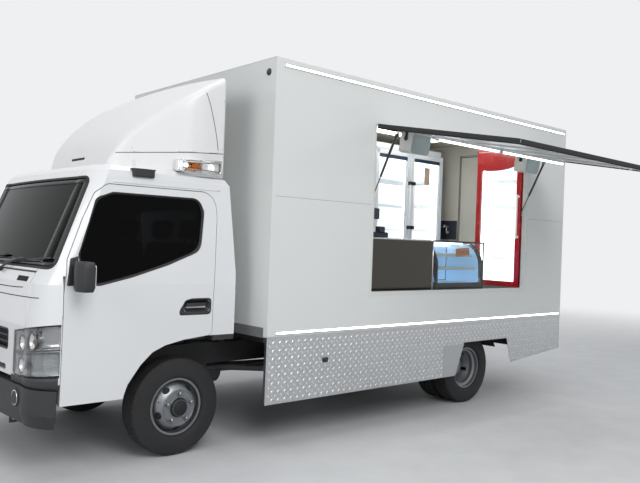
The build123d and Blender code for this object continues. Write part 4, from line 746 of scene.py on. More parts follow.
def skirt_fittings():
    """Top moulding with its rivets, plain splash sheet and drop lock of each skirt."""
    rivet = [(0.0005, 0.0032), (0.003, 0.0026), (0.0045, 0.0)]
    knob = [(0.001, 0.008), (0.011, 0.008), (0.0135, 0.005), (0.014, 0.0)]
    sheet = np.array([(-2.80, 0.3585), (-2.80, 0.665), (-3.120, 0.665), (-2.996, 0.3585)]) + (FRONT, 0)
    x = FRONT - 1.230
    rivets, first, pitch = 29, 0.06, 0.15
    for side, hand in HANDS:
        y = side * SIDE
        parts = [brick(BOX_REAR, BOX_FRONT, *both(side, SIDE, SIDE + 0.006), 0.872, 0.8835, 0.002, "x")]
        parts += [
            turned(rivet, (BOX_FRONT - first - k * pitch, y, 0.866), "y", 10, side) for k in range(rivets)
        ]
        put(f"skirt_moulding_{hand}", parts, "trim_aluminium", "tread_plate")
        plain = slab(sheet, "y", *both(side, SIDE, SIDE + 0.0016), 0.0005)
        put(f"splash_sheet_{hand}", plain, "plain_aluminium", "tread_plate")
        lock = [
            turned(knob, (x, y, 0.657), "y", 24, side),
            brick(x - 0.0025, x + 0.0025, *both(side, SIDE, SIDE + 0.0088), 0.650, 0.664, 0.0006, "y"),
            plate(x - 0.032, x + 0.032, 0.636, 0.678, 0.008, "y", *both(side, SIDE, SIDE + 0.004), 0.001),
        ]
        put(f"skirt_lock_{hand}", lock, "black_plastic", "tread_plate")


# Cab

# height; nose ahead of the front axle, half width, and depth and width of the round corner at that height
CAB_LEVELS = np.array([
    (0.495, 1.085, 0.985, 0.150, 0.300), (0.640, 1.092, 0.990, 0.150, 0.300), (1.000, 1.092, 0.997, 0.150, 0.300),
    (1.290, 1.070, 0.997, 0.150, 0.300), (1.380, 1.030, 0.993, 0.130, 0.280), (2.040, 0.760, 0.955, 0.120, 0.260),
    (2.085, 0.735, 0.945, 0.110, 0.250), (2.120, 0.690, 0.905, 0.100, 0.240),
])
WINDOW = [
    (0.838, 1.491), (0.715, 1.884), (0.596, 1.930), (-0.090, 1.930), (-0.138, 1.830),
    (-0.108, 1.537), (0.163, 1.428), (0.448, 1.340), (0.681, 1.284), (0.790, 1.290),
]
WINDOW_ROUND = [0.03, 0.06, 0.03, 0.09, 0.06, 0.09, 0.2, 0.2, 0.06, 0.06]
SCREEN = [(-0.915, 1.392), (0.915, 1.392), (0.868, 2.032), (-0.868, 2.032)]


def cab_side(z):
    """Half width of the cab's flat side at a height, between its measured levels."""
    return np.interp(z, CAB_LEVELS[:, 0], CAB_LEVELS[:, 2])


def cab_nose(y, z):
    """How far forward the cab's front is at (y, z): a shallow arc in the middle, a round corner of a circle
    through its start, its middle and its end at each side."""
    y, z = np.broadcast_arrays(np.abs(np.asarray(y, float)), np.asarray(z, float))
    nose, half, depth, width = (np.interp(z, CAB_LEVELS[:, 0], CAB_LEVELS[:, k]) for k in (1, 2, 3, 4))
    bow, diagonal = 0.026, 0.7071
    shoulder = half - width
    middle = nose - bow * (y / shoulder) ** 2
    run = depth - bow
    mid_a, mid_b = diagonal * run, diagonal * width
    d = 2 * (run * (mid_b - width) + mid_a * width)
    s1, s2, s3 = run ** 2, mid_a ** 2 + mid_b ** 2, width ** 2
    centre_a = (s1 * (mid_b - width) + s2 * width - s3 * mid_b) / d
    centre_b = (s1 * -mid_a + s2 * run - s3 * (run - mid_a)) / d
    reach = np.sqrt((run - centre_a) ** 2 + centre_b ** 2)
    along = np.clip(y - shoulder, 0, width)
    corner = nose - depth + centre_a + np.sqrt(np.maximum(reach ** 2 - (along - centre_b) ** 2, 0))
    return FRONT + np.where(y <= shoulder, middle, corner)


def on_side(outline, out=0.0, side=1):
    """Outline (x ahead of the front axle, z) laid on the cab's flank, moved out by a distance."""
    x, z = np.asarray(outline, float).T
    return np.stack([FRONT + x, side * (cab_side(z) + out), z], 1)


def on_front(outline, out=0.0):
    """Outline (y, z) laid on the cab's front, moved forward by a distance."""
    y, z = np.asarray(outline, float).T
    return np.stack([cab_nose(y, z) + out, y, z], 1)


def front_path(y, z, out):
    """Path over the cab's front through every y and z, moved forward by a distance."""
    return on_front(np.stack(np.broadcast_arrays(y, z), 1), out)


def front_band(outline, steps):
    """Band along an outline on the cab's front; each step is how far it is drawn in and moved forward."""
    return banded([on_front(drawn_in(outline, inward), out) for inward, out in steps])


def window_seals():
    """Rubber round each door window: a section of five lines kept in the gap between the panel and the glass."""
    line = dense(filleted(WINDOW, WINDOW_ROUND, 8))
    steps = ((0.0005, -0.002), (0.004, 0.0015), (0.016, -0.010), (0.016, -0.0145), (0.0005, -0.016))
    for side, hand in HANDS:
        seal = banded([on_side(drawn_in(line, inward), out, side) for inward, out in steps])
        put(f"window_seal_{hand}", seal, "rubber", "black_plastic", f"{hand}_door")


def screen_parts():
    """Rubber round the windscreen, the dark band inside its rim, and the two wipers."""
    line = dense(filleted(SCREEN, 0.06, 10))
    rubber = (
        (-0.004, 0.0006), (0.002, 0.003), (0.014, 0.0005), (0.014, -0.0045), (0.001, -0.006), (-0.004, 0.0002),
    )
    shade = ((0.012, -0.0048), (0.048, -0.0048), (0.048, -0.0055), (0.012, -0.0055))
    put("screen_seal", front_band(line, rubber), "rubber", "black_plastic", "cab")
    put("screen_band", front_band(line, shade), "gloss_black", "black_plastic", "cab")
    parts, reach = [], 0.74
    run = np.linspace(0, 1, 12)
    for pivot_y in (-0.62, 0.12):
        base = np.array([pivot_y, 1.352])
        arm = base + np.stack([run * reach * 0.52, 0.012 + 0.085 * np.sin(run * math.pi / 2)], 1)
        blade = base + np.stack([run * reach, 0.058 + 0.055 * run], 1)
        parts += [
            bar(on_front([base], -0.01)[0], on_front([base], 0.030)[0], 0.012),
            carried(circle(0.006, 8) * (1.5, 1.0), on_front(arm, 0.026), (1, 0, 0)),
            carried(section(0.007, 0.004, 0.002), on_front(blade, 0.010), (1, 0, 0)),
            carried(section(0.0015, 0.005, 0.001), on_front(blade - (0, 0.002), 0.003), (1, 0, 0)),
            bar(on_front(arm, 0.026)[-1], on_front(blade, 0.010)[6], 0.004, 8),
        ]
    put("wipers", parts, *BLACK, "cab")


def door_handles():
    """Pull in each door's recess: a dark escutcheon with a slanted front corner, a dish, a curved grip and a lock."""
    y = 0.997
    mouth = filleted([(-0.200, 1.080), (0.030, 1.080), (0.030, 1.175), (-0.200, 1.175)], 0.04, 8)
    corners = [(-0.208, 1.060), (0.064, 1.060), (0.064, 1.100), (0.000, 1.184), (-0.208, 1.184)]
    collar = filleted(corners, [0.035, 0.02, 0.04, 0.05, 0.03], 8)
    outer, inner = evenly(collar, 96), evenly(mouth, 96)
    levels = ((0.0, 0.0), (0.0, 0.0012), (0.12, 0.0022), (0.9, 0.0018), (1.0, 0.0008))
    drops = (
        (0.0055, -0.005), (0.0088, -0.0205), (0.03025, -0.0212), (0.030, -0.0216), (0.0006, -0.0216),
        (0.0006, -0.0004),
    )
    rings = [(outer + (inner - outer) * share, h) for share, h in levels]
    rings += [(drawn_in(inner, inward), h) for inward, h in drops]
    lock = [(0.001, 0.006), (0.010, 0.006), (0.0115, 0.003), (0.0115, -0.004)]
    run = np.linspace(0, 1, 14)
    for side, hand in HANDS:
        look = (*BLACK, f"{hand}_door")
        dish = [upright(FRONT + ring[:, 0], ring[:, 1], side * (y + h), "y") for ring, h in rings]
        put(f"handle_dish_{hand}", lofted(dish, True, True), *look)
        bow = side * (y - 0.014 + 0.012 * np.sin(run * math.pi))
        grip = np.stack([FRONT - 0.178 + 0.180 * run, bow, 1.138 - 0.004 * run], 1)
        parts = [
            carried(section(0.004, 0.013, 0.0035, 4), grip),
            turned(lock, (FRONT + 0.008, side * (y - 0.018), 1.108), "y", 24, side),
        ]
        put(f"door_handle_{hand}", parts, *look)


def mirrors():
    """Mirror heads as rounded shells on two arms from the door, with the silvered plate facing back."""
    corners = [(0.803, 1.017), (0.880, 1.017), (0.902, 1.110), (0.879, 1.213), (0.803, 1.213)]
    ring, centre = filleted(corners, 0.026, 6), (0.853, 1.115)
    corners = [(0.911, 1.288), (0.890, 1.468), (0.836, 1.484), (0.836, 1.440), (0.792, 1.288)]
    sail = dense(filleted(corners, 0.006, 3))
    x = FRONT + 0.850
    for side, hand in HANDS:
        look = ("black_plastic", f"{hand}_door")
        rings = []
        for k in np.linspace(0, 1, 13):
            swell = 1 - 0.10 * (2 * k - 1) ** 8 - 0.05 * (2 * k - 1) ** 2
            a, b = (centre + (ring - centre) * swell).T
            rings.append(upright(FRONT + a, side * b, 1.257 + 0.196 * k, "z"))
        foot = plate(x - 0.018, x + 0.018, 1.292, 1.418, 0.012, "y", *both(side, 0.962, 1.000), 0.004)
        arms = [bar((x, side * 0.968, z), (x, side * 1.030, z), 0.010, 12) for z in (1.300, 1.405)]
        put(f"mirror_shell_{hand}", [lofted(rings), foot, *arms], "black_plastic", *look, (f"mirror_{hand}",))
        steps = ((0.0, -0.001), (0.0, 0.002), (0.002, 0.0035), (0.010, 0.0040))
        cover = lofted([on_side(drawn_in(sail, inward), out, side) for inward, out in steps])
        put(f"mirror_sail_{hand}", cover, "black_plastic", *look)
        y = both(side, 1.033, 1.197)
        glass = plate(*y, 1.275, 1.435, 0.022, "x", FRONT + 0.8005, FRONT + 0.8045, 0.001)
        put(f"mirror_plate_{hand}", glass, "mirror", *look)


def lamp_point(share, z, back):
    """Point at a share of the headlamp's width and a height, back from the cab's skin."""
    y = 0.519 + (cab_side(z) - 0.0012 - 0.519) * share
    return np.stack([cab_nose(y, z) - back, y, z], -1)


def lamp_place(s, v, low, high, back):
    """Point of the headlamp at (s across, v up), back from the cab's skin. Below 0, low and high mean its lower and
    upper edge; otherwise their distance from the line between its chambers."""
    s, v = np.broadcast_arrays(np.asarray(s, float), np.asarray(v, float))
    share = 1 - (1 - s) ** 1.6
    middle = 0.803 + 0.065 * share
    low_z = np.interp(share, [0, 0.25, 1], [0.657, 0.651, 0.690]) if low < 0 else middle + low
    high_z = 0.953 + 0.079 * share if high < 0 else middle - high
    return lamp_point(share, low_z + (high_z - low_z) * v, back)


def lamp_strip(s, back):
    """Narrow strip along the line between the two lamp chambers."""
    share = 1 - (1 - s) ** 1.6
    return lamp_point(share, 0.803 + 0.065 * share + np.linspace(-0.0055, 0.0055, 3), back)


def reflector(first, radius, depth, front, steps):
    """Profile of a bowl 2 mm thick, at radius r behind its front by depth times 1 - (r / radius) squared."""
    r = np.linspace(first, radius, steps)
    w = front - depth * (1 - (r / radius) ** 2)
    return np.stack([[*r, *r[::-1]], [*w, *(w[::-1] - 0.002)]], 1)


def headlamps():
    """Two chambers under one clear cover: chromed bowls, turned reflectors with bulbs, and a ribbed flasher lens."""
    s, v = np.linspace(0, 1, 40)[:, None], np.linspace(0, 1, 22)
    cover = [shell(lamp_place(s, v, -1, -1, 0.0030), lamp_place(s, v, -1, -1, 0.0060))]
    pieces = [joined("headlamp_cover_left", cover)]
    flute = 0.0016 * np.abs(np.sin(s * math.pi * 14))
    hollow = 0.010 + (0.034 + flute) * (1 - (2 * s - 1) ** 8) * (1 - (2 * v - 1) ** 6)
    bowls = [
        shell(lamp_place(s, v, low, high, hollow), lamp_place(s, v, low, high, hollow + 0.002))
        for low, high in ((0.006, -1), (-1, 0.006))
    ]
    pieces.append(joined("headlamp_bowl_left", bowls))
    divide = [shell(lamp_strip(s, 0.007), lamp_strip(s, 0.046))]
    for band in ((0.965, 1.0), (0.0, 0.03)):
        edge = lamp_place(np.linspace(0, 1, 30)[:, None], band, -1, -1, 0.0065)
        divide.append(shell(edge, edge - (0.004, 0, 0)))
    optics, amber = [], []
    bulb = np.array([(0.0006, -0.004), (0.005, -0.007), (0.0072, -0.013), (0.0072, -0.030), (0.004, -0.036)])
    for y, z, radius, wide, group in (
        (0.800, 0.905, 0.060, 1.7, amber), (0.645, 0.880, 0.052, 1.0, optics), (0.640, 0.728, 0.050, 1.0, optics),
    ):
        at = (cab_nose(y + radius * 0.72, z) - 0.010, y, z)
        optics.append(turned(reflector(0.006, radius, 0.030, 0.0, 10), at, "x", 40, 1, True))
        group.append(turned(bulb * (wide, 1), at, "x", 20))
        ring = [(radius + 0.004, -0.001), (radius + 0.004, 0.002), (radius, 0.002), (radius, -0.001)]
        divide.append(turned(ring, at, "x", 48, 1, True, False))
    s, v = np.linspace(0.52, 0.985, 26)[:, None], np.linspace(0.05, 0.95, 73)
    rib = 0.0026 * np.abs(np.sin(v * math.pi * 9))[:, None] * (1, 0.5, 0)
    flasher = shell(lamp_place(s, v, -1, 0.008, 0.0085) + rib, lamp_place(s, v, -1, 0.008, 0.0125))
    for name, parts in (
        ("headlamp_divide_left", divide), ("headlamp_amber_left", amber), ("headlamp_optics_left", optics),
        ("flasher_lens_left", [flasher]),
    ):
        pieces.append(joined(name, parts))
    cover, bowl, divide, amber, optics, flasher = pieces
    pair(cover, "lens", "lamp_lens", "cab")
    pair(bowl, "lamp_chrome", "lamp_lens", "cab", ("cab_lamps",))
    pair(optics, "reflector", "lamp_lens", "cab")
    pair(flasher, "ribbed_lens", "lamp_lens", "cab")
    pair(divide, "lamp_bowl", "lamp_lens", "cab")
    pair(amber, "amber", "lamp_lens", "cab")


def flank_rings(outline, steps, side):
    """Rings of an outline (x ahead of the front axle, z); each step is how far it is drawn in and its half width."""
    rings = [(drawn_in(outline, inward), y) for inward, y in steps]
    return [upright(FRONT + ring[:, 0], ring[:, 1], side * y, "y") for ring, y in rings]


def roof_lamps():
    """Side lamp on the roof's edge: bright tray, two chambers with bulbs, an amber sleeve, and a clear cover."""
    corners = [(-0.272, 2.112), (0.092, 2.124), (0.092, 2.212), (-0.272, 2.232)]
    rim = dense(filleted(corners, 0.014, 6), 0.01)
    tray = ((0.001, 0.880), (0.0005, 0.953), (0.004, 0.955), (0.007, 0.953), (0.012, 0.938), (0.030, 0.937))
    cover = (
        (0.0015, 0.954), (0.0015, 0.972), (0.004, 0.980), (0.012, 0.9835), (0.030, 0.984),
        (0.030, 0.981), (0.012, 0.9805), (0.006, 0.977), (0.0045, 0.971), (0.0045, 0.954),
    )
    glow = [(0.0006, 0.030), (0.006, 0.028), (0.009, 0.022), (0.0085, 0.010), (0.005, 0.002)]
    t = np.linspace(0, math.pi, 16)
    arch = np.stack([0.030 * np.sin(t), 0.034 * np.cos(t)], 1)
    arch = np.concatenate([arch, arch[::-1] * 0.90])
    for side, hand in HANDS:
        wall = brick(FRONT - 0.110, FRONT - 0.100, *both(side, 0.938, 0.976), 2.122, 2.218, 0.002, "y")
        floor = lofted(flank_rings(rim, tray, side))
        put(f"roof_lamp_tray_{hand}", [floor, wall], "reflector", "lamp_lens", "cab")
        clear_part = lofted(flank_rings(rim, cover, side), True, True)
        put(f"roof_lamp_cover_{hand}", clear_part, "lens", "lamp_lens", "cab")
        bulbs = []
        for x, z, radius in ((0.040, 2.172, 0.030), (-0.190, 2.170, 0.027)):
            at = (FRONT + x, side * 0.940, z)
            bulbs.append(turned(reflector(0.004, radius, 0.014, 0.016, 8), at, "y", 32, side, True))
            bulbs.append(turned(glow, at, "y", 20, side))
        put(f"roof_lamp_bulbs_{hand}", bulbs, "bulb_white", "lamp_lens", "cab")
        a, b = side * (0.942 + arch[:, 0]), 2.170 + arch[:, 1]
        sleeve = lofted([upright(a, b, FRONT - x, "x") for x in np.linspace(0.010, 0.088, 6)])
        put(f"roof_lamp_sleeve_{hand}", sleeve, "amber", "lamp_lens", "cab")


# distance ahead of the front axle, half width, crease height, centre height of the roof fairing
FAIRING = np.array([
    (-0.300, 0.950, 2.880, 2.915), (-0.120, 0.950, 2.775, 2.810), (0.000, 0.925, 2.692, 2.726),
    (0.100, 0.858, 2.621, 2.654), (0.200, 0.777, 2.541, 2.572), (0.300, 0.704, 2.448, 2.476),
    (0.380, 0.643, 2.359, 2.384), (0.420, 0.608, 2.294, 2.316), (0.450, 0.570, 2.223, 2.240),
    (0.475, 0.500, 2.140, 2.146),
])


def fairing_levels(x):
    """Half width, crease height and centre height at x: means of the measured levels within 40 mm, less near the
    ends."""
    x = np.asarray(x, float)
    reach = np.clip(np.minimum(0.475 - x, x + 0.300), 0, 0.040)
    near = x[..., None] + reach[..., None] * np.linspace(-1, 1, 9)
    return [np.interp(near, FAIRING[:, 0], FAIRING[:, k]).mean(-1) for k in (1, 2, 3)]


def fairing_surface(inward):
    """Grid over (along, round): an upright side, a corner of up to 55 mm radius, and a top that falls from its
    middle with the square of y; the first four rings climb the low front."""
    low = 2.098
    along = np.concatenate([np.full(3, 0.475), 0.475 - 0.775 * np.linspace(0, 1, 72) ** 1.4])
    half, crease, top = (k[:, None] - inward for k in fairing_levels(along))
    radius = np.clip(0.2 * (crease - low), 0.006, 0.055)
    flat = half - radius
    turn = crease + (top - crease) * (1 - (flat / half) ** 2)
    s, a, q = np.linspace(0, 1, 10), np.linspace(0, math.pi / 2, 8)[1:], np.linspace(1, 0, 20)[1:]
    y = np.concatenate([half + 0 * s, flat + radius * np.cos(a), flat * q], 1)
    side, corner = low + (turn - radius - low) * s, turn - radius + radius * np.sin(a)
    z = np.concatenate([side, corner, crease + (top - crease) * (1 - (flat * q / half) ** 2)], 1)
    z = low + (z - low) * np.concatenate([[0.0, 0.4, 0.8], np.ones(72)])[:, None]
    y, z = np.concatenate([y, -y[:, -2::-1]], 1), np.concatenate([z, z[:, -2::-1]], 1)
    return upright(FRONT + along[:, None] - inward * 1.2, y, z, "z")


def fairing_line(x, z, side, out):
    """Path on the fairing's flank at (x ahead of the front axle, z), moved out by a distance."""
    return np.stack([FRONT + x, side * (fairing_levels(x)[0] + out), z], -1)


def fairing_details():
    """The fairing's skin with its feet, its seams, clips and rivets, its side box, and the cab roof's rain gutter."""
    feet = [
        brick(FRONT + x - 0.025, FRONT + x + 0.025, *both(side, half - 0.070, half - 0.004), 2.098, 2.200, 0.004)
        for x, half in ((0.300, 0.704), (-0.180, 0.945)) for side in (1, -1)
    ]
    skin = [shell(fairing_surface(0.0), fairing_surface(0.006)), *feet]
    put("fairing_skin", skin, "fairing_white", "fairing_paint", "cab", ("wind_deflector",))
    parts, grooves = [], []
    rivet = [(0.0006, 0.004), (0.005, 0.003), (0.008, 0.0)]
    for side in (1, -1):
        x = np.linspace(0.420, -0.294, 40)
        seam = fairing_line(x, 2.250 + (0.34 - x) * 0.0585, side, 0.0002)
        grooves.append(carried(section(0.0016, 0.0022, 0.0006), seam))
        x, z = np.array([(-0.130, 2.735), (-0.170, 2.640), (-0.205, 2.520), (-0.232, 2.410), (-0.250, 2.310)]).T
        grooves.append(carried(circle(0.0022, 8), fairing_line(x, z, side, 0.0004), (0, 1, 0)))
        for a, b in ((0.325, 0.300), (0.060, -0.045), (-0.170, -0.245)):
            x = np.linspace(a, b, 6)
            clip = fairing_line(x, 2.2585 + (0.34 - x) * 0.0585, side, 0.003)
            parts.append(carried(section(0.003, 0.004, 0.0015), clip))
        for x, z in (
            (0.330, 2.290), (0.305, 2.160), (0.050, 2.150), (-0.285, 2.150), (-0.285, 2.330), (-0.285, 2.700),
        ):
            parts.append(turned(rivet, fairing_line(x, z, side, 0.0005), "y", 14, side))
    put("fairing_trim", parts, "fairing_white", "fairing_paint", "cab")
    y = np.linspace(-0.12, 0.12, 9)
    slot = upright(FRONT + 0.4505 - 0.01 * y ** 2, y, 2.225, "z")
    grooves.append(carried(section(0.004, 0.012, 0.003, 4), slot))
    put("fairing_seams", grooves, "seam_dark", "black_plastic", "cab")
    gutter = np.stack([np.linspace(0.600, -0.270, 30), np.full(30, 2.0015)], 1)
    profile = round_outline(-0.003, 0.005, -0.005, 0.005, 0.002, 4)
    for side, hand in HANDS:
        y = both(side, 0.925, 0.978)
        vent = bricks(
            (FRONT + 0.290, FRONT + 0.455, *y, 2.048, 2.102, 0.008), (FRONT + 0.285, FRONT + 0.460, *y, 2.098, 2.108)
        )
        put(f"roof_side_box_{hand}", vent, *BLACK, "cab")
        put(f"rain_gutter_{hand}", carried(profile, on_side(gutter, 0.001, side)), "cab_white", "cab_paint", "cab")


def front_details():
    """Seams, cowl vents and grille mesh of the cab's front, and the panel under each headlamp."""
    seams, louvres = [], []
    for z, reach in ((1.245, 0.600), (1.190, 0.860)):
        y = np.linspace(-reach, reach, 60)
        path = front_path(y, z + 0.01 * (np.abs(y) / reach) ** 4, 0.0002)
        seams.append(carried(section(0.0018, 0.0030, 0.0008), path))
    y, z = np.meshgrid(np.linspace(0.475, 0.645, 14), 1.296 + 0.034 * np.linspace(0, 1, 5), indexing="ij")
    for side in (1, -1):
        vent = np.stack([cab_nose(y, z) + 0.0012, side * y, z], -1)
        seams.append(shell(vent, vent - (0.004, 0, 0)))
        for k in range(4):
            path = front_path(side * np.linspace(0.480, 0.640, 12), 1.300 + 0.0085 * k, 0.0028)
            louvres.append(carried(section(0.0022, 0.0012, 0.0008), path))
    put("front_seams", seams, "seam_dark", "black_plastic", "cab")
    louvres.append(carried(section(0.004, 0.006, 0.002, 4), front_path(np.linspace(-0.72, 0.72, 80), 1.366, 0.001)))
    put("cowl_vents", louvres, *BLACK, "cab")
    z = np.linspace(0.822, 0.943, 5)
    mesh = [
        carried(section(0.003, 0.006, 0.0015), front_path(-0.400 + 0.0421 * k, z, -0.020), (1, 0, 0))
        for k in range(20)
    ]
    rim = dense(round_outline(-0.4255, 0.4255, 0.8145, 0.9505, 0.020, 6))
    steps = ((-0.007, 0.0005), (0.0, 0.004), (0.007, 0.0005), (0.007, -0.018), (-0.002, -0.018))
    put("grille_mesh", [*mesh, front_band(rim, steps)], *BLACK, "cab")
    s, v = np.linspace(0, 1, 30)[:, None], np.linspace(0, 1, 4)
    z = 0.604 + (lamp_place(s, 0.0, -1, -1, 0.0)[..., 2] - 0.003 - 0.604) * v
    y = 0.50 + (cab_side(z) + 0.0005 - 0.50) * (1 - (1 - s) ** 1.6)
    under = np.stack([cab_nose(y, z) + 0.0012, y, z], -1)
    left = joined("lamp_underlay_left", [shell(under, under - (0.003, 0.0015, 0))])
    pair(left, "bumper_grey", "black_plastic", "cab")


# height, nose ahead of the front axle, half width
BUMPER = np.array([(0.340, 1.075, 0.970), (0.430, 1.105, 0.985), (0.598, 1.100, 0.985)])


def bumper_front(y, z, out=0.0):
    """Point of the bumper's face at (y, z), moved forward: a shallow arc between two round corners."""
    y, z = np.broadcast_arrays(np.asarray(y, float), np.asarray(z, float))
    nose, half = (np.interp(z, BUMPER[:, 0], BUMPER[:, k]) for k in (1, 2))
    width = 0.300
    shoulder = half - width
    middle = nose - 0.026 * (np.abs(y) / shoulder) ** 2
    k = np.clip((np.abs(y) - shoulder) / width, 0, 1)
    corner = nose - 0.150 + 0.124 * np.sqrt(np.maximum(1 - k ** 2, 0)) * (1 - 0.10 * np.sin(k * math.pi))
    return np.stack([FRONT + np.where(np.abs(y) <= shoulder, middle, corner) + out, y, z], -1)


def bumper_details():
    """The bumper's fog lamps, its two trim lines, and its plate mount with two screws."""
    x = bumper_front(0.600, 0.500)[0]
    bezel = [(0.030, -0.016), (0.056, 0.002), (0.064, 0.003), (0.066, -0.004), (0.060, -0.020)]
    dish = [(0.0006, -0.012), (0.020, -0.010), (0.040, -0.005), (0.052, 0.0015), (0.050, -0.006), (0.020, -0.016)]
    spots = (0.600, -0.600)
    bezels = [turned(bezel, (x, y, 0.505), "x", 40) for y in spots]
    put("fog_lamp_bezels", bezels, *BLACK)
    put("fog_lamp_dishes", [turned(dish, (x + 0.002, y, 0.505), "x", 40) for y in spots], "reflector", "lamp_lens")
    y = np.linspace(-0.80, 0.80, 60)
    trims = [carried(section(0.003, 0.0035, 0.0015), bumper_front(y, z, -0.0024)) for z in (0.435, 0.585)]
    x = bumper_front(0.0, 0.5)[0]
    trims.append(plate(-0.190, 0.190, 0.452, 0.560, 0.012, "x", x - 0.014, x + 0.0008, 0.0006))
    screw = [(0.0006, 0.004), (0.006, 0.003), (0.008, 0.0)]
    trims += [turned(screw, (x - 0.0021, y, 0.506), "x", 14) for y in (-0.16, 0.16)]
    put("bumper_trims", trims, *BLACK)


# Box body


def box_trims():
    """Corner angles with rivets, panel seams and the opening's frame."""
    rivet = [(0.0004, 0.0014), (0.003, 0.0012), (0.0042, 0.0)]
    corners, seams = [], []
    for x, way in ((BOX_FRONT, -1), (BOX_REAR, 1)):
        for side in (1, -1):
            x0, x1 = sorted((x, x + way * 0.034))
            corners.append(brick(x0, x1, *both(side, SIDE - 0.0004, SIDE + 0.0016), 0.884, 3.066, 0.0006, "y"))
            at = x + way * 0.018, side * (SIDE + 0.0012)
            corners += [turned(rivet, (*at, z), "y", 8, side) for z in np.arange(0.96, 3.0, 0.145)]
    for side in (1, -1):
        y0, y1 = both(side, SIDE - 0.0004, SIDE + 0.0014)
        corners.append(brick(BOX_REAR, BOX_FRONT, y0, y1, 3.036, 3.0685, 0.0006, "y"))
    put("box_corner_angles", corners, "box_white", "white_paint")
    for x0, x1, side in (
        (OPEN_FRONT + 0.034, BOX_FRONT - 0.036, 1), (BOX_REAR + 0.036, OPEN_REAR - 0.034, 1),
        (BOX_REAR + 0.036, BOX_FRONT - 0.036, -1),
    ):
        path = upright(np.linspace(x0, x1, 8), 1.985, side * (SIDE + 0.0001), "y")
        seams.append(carried(section(0.0006, 0.0016, 0.0004), path))
    for x in (-2.6, -1.1, 0.35):
        path = upright(x, np.linspace(0.89, 3.03, 8), -SIDE - 0.0001, "y")
        seams.append(carried(section(0.0016, 0.0006, 0.0004), path, (0, 1, 0)))
    put("box_seams", seams, "seam_grey", "white_paint")
    y, top = (SIDE - 0.001, SIDE + 0.003), OPEN_HIGH - 0.004
    deep = (1.131, SIDE + 0.002, OPEN_LOW)
    frame_parts = bricks(
        (OPEN_REAR - 0.030, OPEN_FRONT + 0.030, *y, OPEN_LOW - 0.034, OPEN_LOW, 0.0014, "y"),
        (OPEN_FRONT, OPEN_FRONT + 0.030, *y, OPEN_LOW - 0.002, top, 0.0014, "y"),
        (OPEN_REAR - 0.030, OPEN_REAR, *y, OPEN_LOW - 0.002, top, 0.0014, "y"),
        (OPEN_FRONT - 0.0022, OPEN_FRONT, *deep, OPEN_HIGH - 0.01, 0.0006, "x"),
        (OPEN_REAR, OPEN_REAR + 0.0022, *deep, OPEN_HIGH - 0.01, 0.0006, "x"),
        (OPEN_REAR + 0.002, OPEN_FRONT - 0.002, *deep, OPEN_LOW + 0.0022, 0.0006),
    )
    put("opening_frame", frame_parts, "frame_white", "white_paint")


def high_lamps(x, profile, steps):
    """A turned profile at both upper corners of one end of the box."""
    return [turned(profile, (x, side * 1.085, 2.962), "x", steps) for side in (1, -1)]


def box_lamps():
    """Housings and diffusers of the two light strips, the front markers, and the roof's edge caps."""
    x0, x1 = BOX_REAR + 0.050, BOX_FRONT - 0.087
    y = (SIDE, SIDE + 0.0096)
    a = np.linspace(-math.pi / 2, math.pi / 2, 9)
    dome = [*np.stack([0.0092 + 0.0026 * np.cos(a), 0.0066 * np.sin(a)], 1), (0.0085, 0.0066), (0.0085, -0.0066)]
    out, rise = np.array(dome).T
    strips, glow = [], []
    for z in (0.9075, 3.016):
        for low in (z - 0.0105, z + 0.0072):
            strips.append(brick(x0 - 0.004, x1 + 0.004, *y, low, low + 0.0033, 0.0008, "x"))
        for x in (x0 - 0.004, x1 + 0.001):
            strips.append(brick(x, x + 0.0035, *y, z - 0.0105, z + 0.0105, 0.0008, "x"))
        glow.append(lofted([upright(SIDE + out, z + rise, x, "x") for x in np.linspace(x0, x1, 30)]))
    put("strip_channels", strips, "trim_aluminium", "led_white")
    put("strip_diffusers", glow, "led", "led_white")
    marker = [(0.0006, 0.012), (0.018, 0.011), (0.026, 0.007), (0.029, 0.0), (0.0290, -0.001)]
    eye = [(0.0006, 0.0165), (0.009, 0.0150), (0.0135, 0.0115), (0.014, 0.008)]
    put("front_markers", high_lamps(BOX_FRONT, marker, 32), *BLACK)
    put("front_marker_lenses", high_lamps(BOX_FRONT, eye, 24), "lens", "lamp_lens")
    spans = (
        (BOX_REAR, BOX_FRONT, 1.100, SIDE), (BOX_REAR, BOX_FRONT, -SIDE, -1.100),
        (BOX_FRONT - 0.08, BOX_FRONT, -1.100, 1.100), (BOX_REAR, BOX_REAR + 0.08, -1.100, 1.100),
    )
    put("roof_edge_caps", [brick(*span, 3.066, 3.0698, 0.001) for span in spans], "box_white", "white_paint")


def on_hatch(name, parts, finish, slot, instead=()):
    """Join parts drawn with the hatch shut, turn them up by eighty degrees about its top edge, and place them."""
    edge = Matrix.Translation((0, SIDE, OPEN_HIGH))
    piece = joined(name, parts)
    piece.data.transform(edge @ Matrix.Rotation(math.radians(80), 4, "X") @ edge.inverted())
    piece.data.update()
    place(piece, finish, slot, "hatch", instead)


